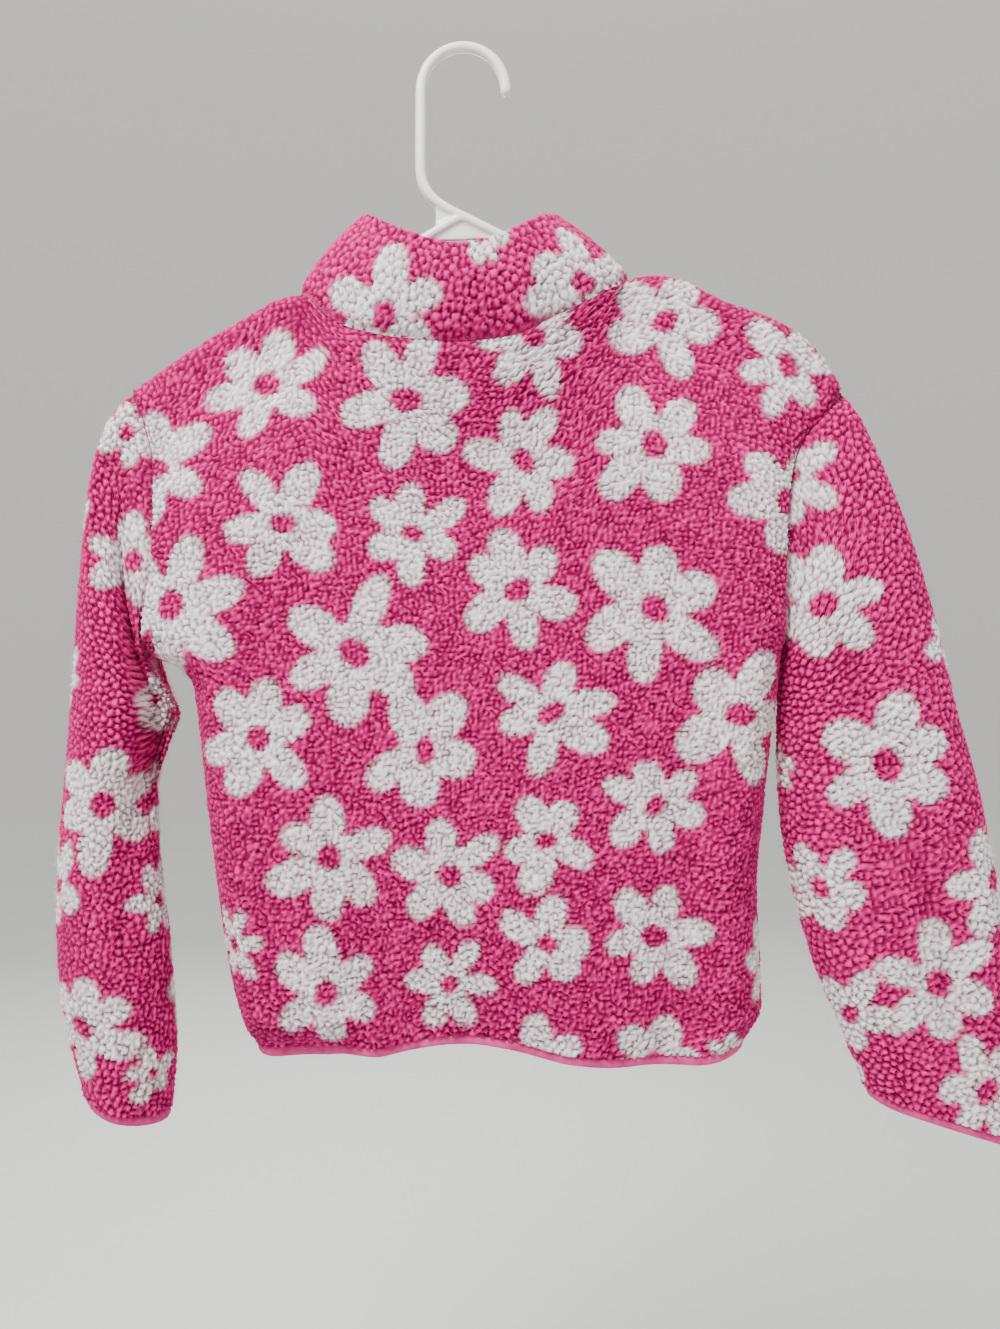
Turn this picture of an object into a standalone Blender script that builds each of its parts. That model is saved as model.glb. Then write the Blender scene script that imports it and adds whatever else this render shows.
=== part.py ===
"""A child's sherpa-fleece zip jacket on a moulded plastic hanger.

Metres, +Z up. The jacket's zipped front faces -Y and its back faces +Y; the wearer's left is +X.
The origin is the underside of the hook's top, where a rail or a screw carries the hanger.
Lengths in the tables are in millimetres and are turned to metres by MM.
"""

import math

import bmesh
import bpy
import numpy as np
from mathutils import Matrix, Vector

MM = 0.001
GAP = 0.3  # between pieces that are sewn or touch

# Cloth
WALL = 6.0  # knit backing and sherpa pile together
PRESSED_WALL = 4.5  # the same where the hanger's arm presses the pile flat
SHOULDER_ROUND = 12.0  # radius of the cloth where it folds over the hanger's arm
SIDE_ROUND = 26.0  # how far in from a side seam the cloth has turned to face front or back
SHOULDER_DROP = 120.0  # how far below the shoulder line the cloth reaches its full depth

# Neck
NECK_HALF_WIDTH = 112.0
NECK_BACK_DEPTH = 38.0
NECK_FRONT_DEPTH = 36.0

# Edge seams of the body, from hem to shoulder tip. Below the underarm they are side seams, above
# it armholes. x and z are the seam's place, round is how far it stands from the garment's middle
# plane, back and front are how deep the cloth hangs behind and before that plane. The flap is
# cloth that stands out at the left underarm.
BODY_COLUMNS = (
    "v", "left_x", "flap", "left_z", "right_x", "right_z", "round", "back", "front",
)
BODY = (
    (0.00, 140.0, 0.0, -672.0, -190.0, -663.0, 0.0, 33.0, 24.0),
    (0.05, 150.0, 0.0, -648.0, -200.0, -644.0, 0.0, 34.0, 25.0),
    (0.12, 158.0, 0.0, -612.0, -199.0, -612.0, 0.0, 35.0, 25.0),
    (0.20, 165.0, 0.0, -564.0, -197.0, -566.0, 0.0, 35.0, 25.0),
    (0.30, 172.0, 0.0, -508.0, -202.0, -508.0, 0.0, 34.0, 25.0),
    (0.38, 177.0, 0.0, -462.0, -207.0, -462.0, 0.0, 33.0, 25.0),
    (0.44, 181.0, 0.0, -432.0, -211.0, -434.0, 0.0, 32.3, 24.7),
    (0.47, 183.0, 9.0, -418.0, -212.5, -418.0, 0.0, 31.9, 24.5),
    (0.50, 184.5, 28.5, -408.0, -213.5, -408.0, 0.0, 31.6, 24.3),
    (0.53, 187.0, 27.5, -396.0, -214.5, -396.0, 13.0, 31.2, 24.0),
    (0.62, 195.5, 13.0, -354.0, -215.0, -352.0, 15.0, 29.8, 23.0),
    (0.72, 203.5, 4.0, -310.0, -218.0, -308.0, 15.0, 27.5, 21.5),
    (0.82, 210.0, 0.0, -272.0, -226.0, -270.0, 14.0, 24.0, 19.0),
    (0.92, 217.0, 0.0, -246.0, -244.0, -247.0, 13.0, 18.0, 15.0),
    (1.00, 225.0, 0.0, -232.0, -257.0, -232.0, 0.0, 12.0, 12.0),
)
UNDERARM_V = 0.50
ARMHOLE_INSET = 0.15  # share of the wall that the edges still lie in at the armholes
SHOULDER_V = 0.94  # from here up the rows run along the shoulder line
PRESSED_V = 0.80  # above this the hanger's arm presses on the inside
PRESSED_SLOPE = 1.16  # a sloping wall is this much thicker measured straight down
NECK_POINT = 0.25  # share of the neck ring where the wall thins towards a neck point
FLAP_WIDTH = 0.13  # share of the body that the cloth standing out at the underarm takes up

# The line over both shoulders and round the back of the neck.
SHOULDER_COLUMNS = ("x", "z")
SHOULDER = (
    (225.0, -232.0),
    (206.0, -218.5),
    (188.0, -206.0),
    (171.0, -195.0),
    (153.0, -184.5),
    (138.0, -175.5),
    (124.0, -168.5),
    (112.0, -166.5),
    (90.0, -187.0),
    (73.0, -197.0),
    (37.0, -206.0),
    (3.0, -208.5),
    (-29.0, -205.0),
    (-64.0, -188.0),
    (-82.0, -178.0),
    (-101.0, -165.0),
    (-112.0, -156.0),
    (-130.0, -153.0),
    (-147.0, -156.0),
    (-163.0, -163.5),
    (-180.0, -171.5),
    (-200.0, -178.0),
    (-220.0, -187.5),
    (-238.0, -202.0),
    (-249.0, -217.0),
    (-257.0, -232.0),
)
TIP_Z = -232.0  # the shoulder tips' height
FRONT_NECK_DIP = 36.0  # how much lower the neck seam runs at centre front than at centre back

# The hem's height at the back, above a straight line between its side seams.
HEM_COLUMNS = ("x", "rise")
HEM = (
    (140.0, 0.0),
    (110.0, -1.0),
    (80.0, 0.0),
    (50.0, 4.0),
    (10.0, 10.5),
    (-30.0, 6.5),
    (-70.0, -2.5),
    (-110.0, -6.5),
    (-150.0, -5.0),
    (-175.0, -1.5),
    (-190.0, 0.0),
)
HEM_FADE_V = 0.22  # the hem's wave has died out here
HEM_FRONT = 0.3  # share of the wave that the front has

# The hem's left corner rolls under towards the front.
CURL_END = 0.27
CURL_IN = 12.0
CURL_UP = 5.0

# Long soft folds of the body: u at the top and at the foot, width as a share of the body, the
# shares of the body's height where it starts and where it is deepest, and how far it stands out.
BACK_FOLDS = (
    (0.10, 0.17, 0.055, 0.72, 0.00, 5.0),
    (0.20, 0.30, 0.060, 0.55, 0.00, -4.5),
    (0.42, 0.45, 0.070, 0.45, 0.00, -5.0),
    (0.60, 0.66, 0.075, 0.50, 0.00, 4.0),
    (0.86, 0.80, 0.050, 0.70, 0.05, -3.5),
    (0.93, 0.90, 0.040, 0.80, 0.10, 3.5),
    (0.30, 0.06, 0.045, 0.95, 0.61, 3.0),
    (0.72, 0.94, 0.045, 0.95, 0.63, 3.0),
)
FRONT_FOLDS = (
    (0.12, 0.16, 0.055, 0.70, 0.00, 4.0),
    (0.26, 0.24, 0.060, 0.55, 0.00, -3.5),
    (0.74, 0.70, 0.060, 0.60, 0.00, -3.5),
    (0.90, 0.86, 0.050, 0.70, 0.00, 3.5),
    (0.28, 0.07, 0.045, 0.95, 0.63, 2.5),
    (0.73, 0.93, 0.045, 0.95, 0.63, 2.5),
)

# Sleeve sections from armhole to cuff. Each lies between an outer and an inner point and is
# "deep" from front to back about "middle". A groove runs down its back at the share "at" of its
# width; past the groove the cloth lies "recess" further in.
SLEEVE_COLUMNS = (
    "outer_x", "outer_z", "inner_x", "inner_z", "deep", "middle", "at", "groove", "recess",
)
SLEEVE_LEFT = (
    (231.0, -240.0, 214.5, -413.0, 16.0, 0.0, 0.42, 1.0, 0.0),
    (240.0, -254.0, 214.0, -417.0, 18.5, 0.0, 0.44, 3.0, 3.0),
    (248.0, -279.0, 212.0, -422.0, 22.0, 0.0, 0.50, 6.0, 8.0),
    (254.0, -318.0, 208.0, -429.0, 26.0, -1.0, 0.58, 7.0, 14.0),
    (259.5, -365.0, 203.0, -438.0, 30.0, -2.0, 0.64, 8.0, 18.0),
    (264.0, -420.0, 197.0, -451.0, 33.0, -3.0, 0.69, 8.0, 20.0),
    (268.0, -466.0, 203.0, -468.0, 35.0, -4.0, 0.78, 7.0, 15.0),
    (271.5, -505.0, 211.5, -504.0, 36.0, -5.0, 0.84, 4.0, 6.0),
    (275.0, -547.0, 210.0, -547.0, 36.0, -5.0, 0.82, 2.5, 0.0),
    (276.0, -592.0, 204.5, -594.0, 36.0, -5.0, 0.75, 2.0, 0.0),
    (273.5, -632.0, 200.0, -638.0, 35.0, -4.0, 0.60, 2.0, 0.0),
    (267.5, -666.0, 198.0, -676.0, 33.0, -4.0, 0.50, 1.5, 0.0),
    (257.5, -703.0, 200.5, -719.0, 30.0, -3.0, 0.50, 0.0, 0.0),
)
SLEEVE_RIGHT = (
    (-262.0, -241.0, -215.5, -413.0, 16.0, 0.0, 0.50, 0.0, 0.0),
    (-269.5, -253.5, -215.5, -417.0, 18.5, 0.0, 0.50, 0.0, 0.0),
    (-280.0, -277.0, -215.0, -421.0, 21.0, 0.5, 0.60, 1.0, 0.0),
    (-294.0, -311.0, -214.5, -427.0, 23.0, 1.0, 0.62, 2.0, 0.0),
    (-308.0, -352.0, -214.0, -436.0, 25.0, 1.0, 0.62, 3.0, 0.0),
    (-320.0, -396.0, -213.5, -449.0, 26.0, 1.5, 0.60, 3.0, 0.0),
    (-332.0, -448.0, -213.0, -474.0, 27.0, 2.0, 0.55, 2.0, 0.0),
    (-345.0, -494.0, -214.0, -505.0, 27.0, 2.0, 0.50, 1.5, 0.0),
    (-354.0, -538.0, -218.0, -541.0, 27.0, 2.0, 0.45, 2.0, 0.0),
    (-362.5, -581.0, -226.0, -578.0, 26.0, 2.0, 0.40, 3.0, 0.0),
    (-368.0, -630.0, -239.0, -622.0, 25.0, 2.0, 0.40, 3.5, 0.0),
    (-371.0, -680.0, -256.0, -662.0, 23.0, 1.5, 0.42, 2.0, 0.0),
    (-374.0, -734.0, -272.0, -702.0, 21.0, 1.0, 0.50, 0.0, 0.0),
)
SLEEVE_STEPS = 22  # rings between armhole and cuff
SEAM_BLEND = 5.0  # table rows over which a ring's points leave the armhole's spacing
GROOVE_WIDTH = 0.09  # share of the sleeve's width
RECESS_WIDTH = 0.14
SLEEVE_CROWN = 0.12  # share of its depth that is gained towards the middle

# Collar: the top edge, by the turn from the wearer's left (0) over the back (90) to the right.
COLLAR_COLUMNS = ("turn", "x", "y", "z")
COLLAR_TOP = (
    (0.0, 73.0, 0.0, -115.0),
    (30.0, 62.0, 27.0, -124.0),
    (60.0, 35.0, 43.0, -141.0),
    (90.0, 3.0, 47.0, -150.0),
    (120.0, -30.0, 42.0, -140.0),
    (150.0, -56.0, 24.0, -122.0),
    (180.0, -67.0, 0.0, -116.0),
    (210.0, -58.0, -27.0, -131.0),
    (240.0, -32.0, -43.0, -163.0),
    (270.0, 2.0, -47.0, -178.0),
    (300.0, 36.0, -43.0, -163.0),
    (330.0, 63.0, -27.0, -131.0),
    (360.0, 73.0, 0.0, -115.0),
)
COLLAR_ROWS = 6
COLLAR_HALF_WIDTH = 70.0
COLLAR_HALF_DEPTH = 47.0
ZIP_TURN = 1.13  # mm of top edge for each degree of turn beside the zip
COLLAR_BELLY = 4.0  # how far the stand bows out at half height

# Edging
BINDING_DROP = 6.5  # how far the knit binding shows past the cloth's edge
BINDING_LIP = 1.2  # how far it stands in from each face of the cloth

# Zip
ZIP_GAP = 7.0  # from centre front to the edge of each front
TAPE_REACH = 15.0
TAPE_THICK = 1.0
CHAIN_HALF_WIDTH = 3.0
CHAIN_THICK = 2.6

TAPE_DEPTH = WALL + 2 * GAP  # below the outer face of the cloth
CHAIN_DEPTH = TAPE_DEPTH + TAPE_THICK / 2
SLIDER_STATION = 1.84  # 1 is the neck seam and 2 the collar's top
SLIDER_SIZE = (9.5, 4.8, 11.5)
BAIL_THICK = 1.6
BAIL = ((-0.6, -3.8), (2.3, -3.8), (3.4, -2.7), (3.4, 2.7), (2.3, 3.8), (-0.6, 3.8))
BAIL_WINDOW = ((0.0, -2.6), (2.3, -2.6), (2.3, 2.6), (0.0, 2.6))
PULL_AXIS = (1.15, -1.0)  # out from the slider's face and up from its middle
PULL_THICK = 1.2
PULL = (
    (-2.6, 0.6), (2.6, 0.6), (3.1, -0.4), (3.5, -7.5), (3.5, -22.0), (2.5, -24.0),
    (-2.5, -24.0), (-3.5, -22.0), (-3.5, -7.5), (-3.1, -0.4),
)
PULL_WINDOW = ((-1.7, -0.6), (1.7, -0.6), (1.7, -6.0), (-1.7, -6.0))
ZIP_FOOT = 0.004  # station where the tapes and the chain end, just over the hem
ZIP_TOP_X = 2.0
ZIP_FOOT_X = -12.0

# Hanger
ROD = 3.7  # radius of its round sections
HOOK_RADIUS = 29.0  # centreline
HOOK_CENTRE = (0.4, -25.3)
PEAK = (1.3, -112.0)  # where the arms meet
HANGER_ROLL = 2.1  # it hangs with the wearer's left arm lower
ARM_BEND = (110.0, -60.3)  # the arms are a little flatter past this point
ARM_REACH = 187.0
ARM_DROP = -96.8
END_ROUND = 11.0
# From the hook's foot down into the right arm.
STEM = (
    (29.4, -60.0), (29.4, -83.5), (28.2, -90.0), (24.5, -96.8),
    (18.3, -102.8), (10.2, -107.8), (1.3, -112.0), (-6.0, -115.6),
)
WEB = ((19.3, -104.5), (19.3, -121.0), (0.0, -112.0))
WEB_THICK = 3.0

# Colours, linear
PINK = (0.60, 0.075, 0.26)
BINDING_PINK = (0.62, 0.12, 0.30)
TAPE_PINK = (0.66, 0.13, 0.32)
NICKEL = (0.62, 0.60, 0.57)
WHITE = (0.86, 0.86, 0.84)


def column(rows, names, name):
    return np.array([row[names.index(name)] for row in rows], float)


def along(stations, values, at):
    """A smooth curve through a table's values that never overshoots them (monotone cubic)."""
    flip = stations[0] > stations[-1]
    stations = stations[::-1] if flip else stations
    values = values[::-1] if flip else values
    step = np.diff(stations)
    slope = np.diff(values) / step
    tangent = np.zeros(len(values))
    tangent[0], tangent[-1] = slope[0], slope[-1]
    same = slope[:-1] * slope[1:] > 0
    mean = 2 * slope[:-1] * slope[1:] / np.where(same, slope[:-1] + slope[1:], 1)
    tangent[1:-1] = np.where(same, mean, 0)
    at = np.clip(at, stations[0], stations[-1])
    k = np.clip(np.searchsorted(stations, at) - 1, 0, len(step) - 1)
    t = (at - stations[k]) / step[k]
    rise = values[k] * (1 + 2 * t) * (1 - t) ** 2 + values[k + 1] * t * t * (3 - 2 * t)
    return rise + step[k] * (tangent[k] * t * (1 - t) ** 2 - tangent[k + 1] * t * t * (1 - t))


def body_column(name, v):
    return along(column(BODY, BODY_COLUMNS, "v"), column(BODY, BODY_COLUMNS, name), v)


def ease(t):
    t = np.clip(t, 0, 1)
    return t * t * (3 - 2 * t)


def quarter(t):
    """The profile of a quarter round: 0 at the edge, 1 once it has turned."""
    t = np.clip(t, 0, 1)
    return np.sqrt(1 - (1 - t) ** 2)


def folds(table, u, v):
    height = (body_column("left_z", v) - BODY[0][3]) / (TIP_Z - BODY[0][3])
    out = np.zeros(height.shape)
    for u_top, u_foot, width, top, foot, depth in table:
        down = np.clip((top - height) / (top - foot), 0, 1)
        middle = u_top + (u_foot - u_top) * down
        out = out + depth * ease(down) * np.exp(-(((u - middle) / width) ** 2))
    return out


def crown(u, side):
    """The height of the shoulder and neck line above the straight line between the tips."""
    xs = column(SHOULDER, SHOULDER_COLUMNS, "x")
    x = xs[0] + (xs[-1] - xs[0]) * u
    rise = along(xs, column(SHOULDER, SHOULDER_COLUMNS, "z") - TIP_Z, x)
    if side < 0:
        rise = rise - FRONT_NECK_DIP * ease(1 - (x / NECK_HALF_WIDTH) ** 2)
    return rise


def body_edges(v, inner):
    """The body's left and right edges. At the armholes the two faces end one behind the other."""
    at_armhole = ease((v - UNDERARM_V) / 0.03)
    inset = WALL * inner * (1 - (1 - ARMHOLE_INSET) * at_armhole)
    return body_column("left_x", v) - inset, body_column("right_x", v) + inset


def body_x(u, v, inner):
    left, right = body_edges(v, inner)
    flap = body_column("flap", v) * np.clip(1 - u / FLAP_WIDTH, 0, 1) ** 2
    return left + (right - left) * u + flap, left - right


def body_point(u, v, side, inner):
    """A point of the body cloth: u across from the wearer's left, v up from the hem.

    side is +1 on the back and -1 on the front; inner is 0 on the outside and 1 on the inside.
    """
    u, v = np.broadcast_arrays(np.asarray(u, float), np.asarray(v, float))
    inset = WALL * inner
    x, width = body_x(u, v, inner)
    edge_z = body_column("left_z", v) * (1 - u) + body_column("right_z", v) * u
    lift = ease((v - UNDERARM_V) / (SHOULDER_V - UNDERARM_V))
    hem = along(column(HEM, HEM_COLUMNS, "x"), column(HEM, HEM_COLUMNS, "rise"), x)
    hem = hem * ease(1 - v / HEM_FADE_V) * (1.0 if side > 0 else HEM_FRONT)
    z = edge_z + lift * crown(u, side) + hem
    below = crown(u, side) + TIP_Z - z  # distance under the shoulder and neck line
    # The neck is an open ring; the shoulders are closed over the arm.
    half = NECK_HALF_WIDTH - 0.5 * inset
    ring = (NECK_BACK_DEPTH if side > 0 else NECK_FRONT_DEPTH) - inset
    in_neck = np.clip(1 - (x / half) ** 2, 0, 1)
    pressed = PRESSED_WALL * inner * PRESSED_SLOPE * ease((v - PRESSED_V) / (1 - PRESSED_V))
    z = z - pressed * (1 - ease(in_neck / NECK_POINT))
    seam = body_column("round", v)
    seam = np.maximum(seam - inset, seam * 0.3)
    deep = body_column("back" if side > 0 else "front", v) - inset
    deep = deep + folds(BACK_FOLDS if side > 0 else FRONT_FOLDS, u, v)
    across = width * np.minimum(u, 1 - u)
    target = seam + (deep - seam) * quarter(across / (SIDE_ROUND - 0.6 * inset))
    cap = (SHOULDER_ROUND - PRESSED_WALL * inner) * quarter(below / SHOULDER_ROUND)
    rim = np.maximum(ring * np.sqrt(in_neck), cap)
    rim = np.minimum(rim, np.where(in_neck > 0, rim, target))
    y = rim + (target - rim) * ease(below / SHOULDER_DROP)
    if side > 0:  # the hem's left corner rolls under
        roll = ease((CURL_END - u) / 0.10) * ease(1 - v / 0.05)
        y = y - CURL_IN * roll * ease(across / SIDE_ROUND)
        z = z + CURL_UP * roll * ease(1 - v / 0.03)
    return np.stack([x, side * np.maximum(y, 0.5 * GAP), z], -1)


ROWS_BELOW = (0.0, 0.022, 0.05, 0.11, 0.18, 0.25, 0.32, 0.38, 0.425, 0.455, 0.48)
ROWS_ARMHOLE = (
    0.5, 0.515, 0.54, 0.58, 0.63, 0.69, 0.75, 0.81, 0.86, 0.905, 0.94, 0.968, 0.988, 1.0,
)
# Grid columns, close together at the side seams and where the neck ring starts.
COLUMNS_LEFT = (
    0.0, 0.004, 0.014, 0.032, 0.06, 0.10, 0.145, 0.19, 0.222,
    0.2354, 0.243, 0.258, 0.285, 0.325, 0.37, 0.415,
)
COLUMNS_RIGHT = (
    0.51, 0.555, 0.60, 0.645, 0.675, 0.693, 0.7021, 0.716,
    0.745, 0.79, 0.84, 0.89, 0.935, 0.967, 0.986, 0.996, 1.0,
)
CENTRE = 0.4625  # the column at centre back
NECK_LEFT, NECK_RIGHT = 0.2354, 0.7021  # the columns at the neck points


def body_grid(columns, side, inner):
    v = np.array(ROWS_BELOW + ROWS_ARMHOLE)[:, None]
    return body_point(np.array(columns)[None, :], v, side, inner)


def new_object(name, verts, faces, colour, roughness):
    """One sub-part: a mesh object with its own material, its faces pointing out."""
    mesh = bpy.data.meshes.new(name)
    mesh.from_pydata([tuple(v) for v in np.asarray(verts) * MM], [], faces)
    shape = bmesh.new()
    shape.from_mesh(mesh)
    bmesh.ops.recalc_face_normals(shape, faces=shape.faces)
    bmesh.ops.triangulate(shape, faces=shape.faces)
    shape.to_mesh(mesh)
    shape.free()
    obj = bpy.data.objects.new(name, mesh)
    mesh.shade_smooth()
    obj.data.materials.append(finish(name, colour, roughness))
    JACKET.objects.link(obj)
    return obj


def finish(name, colour, roughness):
    material = bpy.data.materials.new(name)
    material.use_nodes = True
    shader = material.node_tree.nodes["Principled BSDF"]
    shader.inputs["Base Color"].default_value = (*colour, 1)
    shader.inputs["Roughness"].default_value = roughness
    shader.inputs["Metallic"].default_value = 0.0
    return material


def wall(name, outer, inner, colour, ring=False):
    """Cloth between an outer and an inner grid of points. A ring's columns close on themselves."""
    rows, columns = outer.shape[:2]
    verts = np.concatenate([outer.reshape(-1, 3), inner.reshape(-1, 3)])
    back = rows * columns
    across = columns if ring else columns - 1
    faces = []
    for r in range(rows - 1):
        for c in range(across):
            d = (c + 1) % columns
            a, b = r * columns + c, r * columns + d
            e, f = (r + 1) * columns + d, (r + 1) * columns + c
            faces.append((a, b, e, f))
            faces.append((back + f, back + e, back + b, back + a))
    for c in range(across):
        d = (c + 1) % columns
        top = (rows - 1) * columns
        faces.append((back + c, back + d, d, c))
        faces.append((top + c, top + d, back + top + d, back + top + c))
    if not ring:
        for r in range(rows - 1):
            low, high = r * columns, (r + 1) * columns
            faces.append((low, high, back + high, back + low))
            low, high = low + columns - 1, high + columns - 1
            faces.append((back + low, back + high, high, low))
    return new_object(name, verts, faces, colour, 0.95)


def armhole(which, inner):
    """The loop that a sleeve is sewn to: from the shoulder tip down the back and up the front."""
    u = 0.0 if which > 0 else 1.0
    v = np.array(ROWS_ARMHOLE[::-1])
    back = body_point(u, v, 1, inner)
    front = body_point(u, v, -1, inner)[::-1]
    loop = np.concatenate([back, front[1:-1]])
    half = len(v) - 1
    for at in (0, half):  # one point each at the shoulder tip and the underarm
        loop[at, 1] = 0.0
    loop[:, 0] += which * 1.6 * GAP
    return loop


def sleeve_ring(table, station, inner):
    """A sleeve's section at a station that counts the table's rows, with the armhole's points."""
    index = np.arange(len(table), dtype=float)
    row = {name: along(index, column(table, SLEEVE_COLUMNS, name), np.array([station]))[0]
           for name in SLEEVE_COLUMNS}
    half_count = len(ROWS_ARMHOLE) - 1
    v = np.array(ROWS_ARMHOLE[::-1])
    which = 1 if table is SLEEVE_LEFT else -1
    edge = body_point(0.0 if which > 0 else 1.0, v, 1, 0)
    length = np.concatenate([[0], np.cumsum(np.linalg.norm(np.diff(edge, axis=0), axis=1))])
    sewn = length / length[-1]
    even = 0.5 - 0.5 * np.cos(math.pi * np.arange(half_count + 1) / half_count)
    share = sewn + (even - sewn) * min(1.0, (station + 1) / SEAM_BLEND)
    outer = np.array([row["outer_x"], row["outer_z"]])
    inside = np.array([row["inner_x"], row["inner_z"]])
    middle, reach = (outer + inside) / 2, outer - inside
    width = np.linalg.norm(reach) / 2
    reach = reach / (2 * width)
    inset = WALL * inner
    along_x = (width - inset) * (1 - 2 * share)
    from_end = 2 * (width - inset) * np.minimum(share, 1 - share)
    deep = (row["deep"] - inset) * quarter(from_end / (row["deep"] - 0.6 * inset))
    deep = deep * (1 - SLEEVE_CROWN + SLEEVE_CROWN * np.sin(math.pi * share))
    dent = row["groove"] * np.exp(-(((share - row["at"]) / GROOVE_WIDTH) ** 2))
    dent = dent + row["recess"] * ease((share - row["at"]) / RECESS_WIDTH)
    dent = dent * np.clip(deep / 8, 0, 1)
    back = row["middle"] + deep - dent
    front = (row["middle"] - deep)[::-1][1:-1]
    y = np.concatenate([back, front])
    along_x = np.concatenate([along_x, along_x[::-1][1:-1]])
    x = middle[0] + along_x * reach[0]
    z = middle[1] + along_x * reach[1]
    return np.stack([x, y, z], -1)


def sleeve(name, table, colour):
    which = 1 if table is SLEEVE_LEFT else -1
    layers = []
    for inner in (0, 1):
        rings = [armhole(which, inner)]
        for station in np.linspace(0, len(table) - 1, SLEEVE_STEPS):
            rings.append(sleeve_ring(table, station, inner))
        layers.append(np.array(rings))
    return wall(name, layers[0], layers[1], colour, ring=True)


def zip_x(v):
    """Centre front: the line that the zip follows."""
    return ZIP_FOOT_X + (ZIP_TOP_X - ZIP_FOOT_X) * v


def column_at(x, v, inner):
    """The column u of the body grid that passes through x, away from the underarm flap."""
    left, right = body_edges(v, inner)
    return (left - x) / (left - right)


def front_columns(which, v, inner):
    """The columns of one front, from its side seam to its edge at the zip."""
    edge = column_at(zip_x(v) + which * ZIP_GAP, v, inner)
    if which > 0:
        fixed = np.array(COLUMNS_LEFT)
        return np.concatenate([fixed, [edge]])
    return np.concatenate([[edge], COLUMNS_RIGHT])


def front_grid(which, inner):
    rows = ROWS_BELOW + ROWS_ARMHOLE
    return np.array([body_point(front_columns(which, v, inner), v, -1, inner) for v in rows])


def collar_top(turn, inner):
    """The collar's top edge at a turn in degrees."""
    turns = column(COLLAR_TOP, COLLAR_COLUMNS, "turn")
    point = [along(turns, column(COLLAR_TOP, COLLAR_COLUMNS, axis), turn) for axis in "xyz"]
    x, y, z = point
    centre = ZIP_TOP_X
    out = np.stack([(x - centre) / COLLAR_HALF_WIDTH ** 2, y / COLLAR_HALF_DEPTH ** 2], -1)
    out = out / np.linalg.norm(out, axis=-1, keepdims=True)
    return np.stack([x - WALL * inner * out[..., 0], y - WALL * inner * out[..., 1], z], -1)


def collar_point(seam, share, inner):
    """A point of the collar above a point of the neck seam; share is 0 there and 1 at the top."""
    x, y = seam[..., 0], seam[..., 1]
    turn = np.degrees(np.arctan2(y / NECK_BACK_DEPTH, x / NECK_HALF_WIDTH)) % 360
    from_zip = x - ZIP_TOP_X
    near_zip = np.where(y < 0, np.exp(-((from_zip / 25.0) ** 2)), 0)
    turn = turn + near_zip * (270 + from_zip / ZIP_TURN - turn)
    top = collar_top(turn, inner)
    point = seam + (top - seam) * share
    bow = COLLAR_BELLY * 4 * share * (1 - share)
    away = np.stack([x / NECK_HALF_WIDTH, y / NECK_BACK_DEPTH * 1.2, 0 * x], -1)
    lift = np.array([0, 0, 1.6 * GAP * (1 - share)])
    return point + bow * away + lift


def neck_seam(inner):
    """The neck seam, from the left edge of the zip round the back to its right edge."""
    left = front_columns(1, 1.0, inner)
    right = front_columns(-1, 1.0, inner)
    left = left[left > NECK_LEFT + 1e-6][::-1]
    right = right[right < NECK_RIGHT - 1e-6][::-1]
    back = [u for u in COLUMNS_LEFT if u >= NECK_LEFT] + [CENTRE]
    back += [u for u in COLUMNS_RIGHT if u <= NECK_RIGHT]
    back = body_point(np.array(back), 1.0, 1, inner)
    back[0, 1] = back[-1, 1] = 0.0
    return np.concatenate([
        body_point(left, 1.0, -1, inner), back, body_point(right, 1.0, -1, inner),
    ])


def collar(colour):
    layers = []
    for inner in (0, 1):
        seam = neck_seam(inner)
        levels = [collar_point(seam, share, inner) for share in np.linspace(0, 1, COLLAR_ROWS + 1)]
        layers.append(np.array(levels))
    return wall("collar", layers[0], layers[1], colour)


def binding(name, outer, inner, down, colour, ring=False):
    """Knit binding under a cloth edge: two rows of points and the way that the cloth hangs."""
    middle = (outer + inner) / 2
    layers = []
    for edge in (outer, inner):
        rows = []
        for drop, narrow in ((GAP, 0.0), (0.65 * BINDING_DROP, 0.0), (BINDING_DROP, 0.45)):
            rows.append(edge + (middle - edge) * narrow + down * drop)
        layers.append(np.array(rows))
    return wall(name, layers[0], layers[1], colour, ring=ring)


def hem_binding(name, side, which, colour):
    edges = []
    for inner in (BINDING_LIP / WALL, 1 - BINDING_LIP / WALL):
        if side > 0:
            columns = COLUMNS_LEFT + (CENTRE,) + COLUMNS_RIGHT
        else:
            columns = front_columns(which, 0.0, inner)
        edges.append(body_point(np.array(columns), 0.0, side, inner))
    return binding(name, edges[0], edges[1], np.array([0, 0, -1.0]), colour)


def cuff_binding(name, table, colour):
    last = len(table) - 1
    edges = [sleeve_ring(table, last, lip) for lip in (BINDING_LIP / WALL, 1 - BINDING_LIP / WALL)]
    down = edges[0].mean(0) - sleeve_ring(table, last - 0.5, 0).mean(0)
    down = down / np.linalg.norm(down)
    return binding(name, edges[0], edges[1], down, colour, ring=True)


def zip_point(offset, station, depth):
    """A point of the zip: offset across from its line, depth in from the cloth's outer face.

    station runs 0 to 1 up the body and 1 to 2 up the collar.
    """
    inner = depth / WALL
    v = min(station, 1.0)
    x = zip_x(v) + offset
    point = body_point(column_at(x, v, inner), v, -1, inner)
    if station > 1:
        point = collar_point(point, station - 1, inner)
    return point


def zip_strip(name, offsets, depths, stations, colour, roughness):
    """A strip along the zip between two offsets and two depths."""
    layers = []
    for depth in depths:
        layers.append(np.array([[zip_point(o, s, depth) for o in offsets] for s in stations]))
    obj = wall(name, layers[0], layers[1], colour)
    obj.data.materials[0].node_tree.nodes["Principled BSDF"].inputs[
        "Roughness"].default_value = roughness
    return obj


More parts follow.
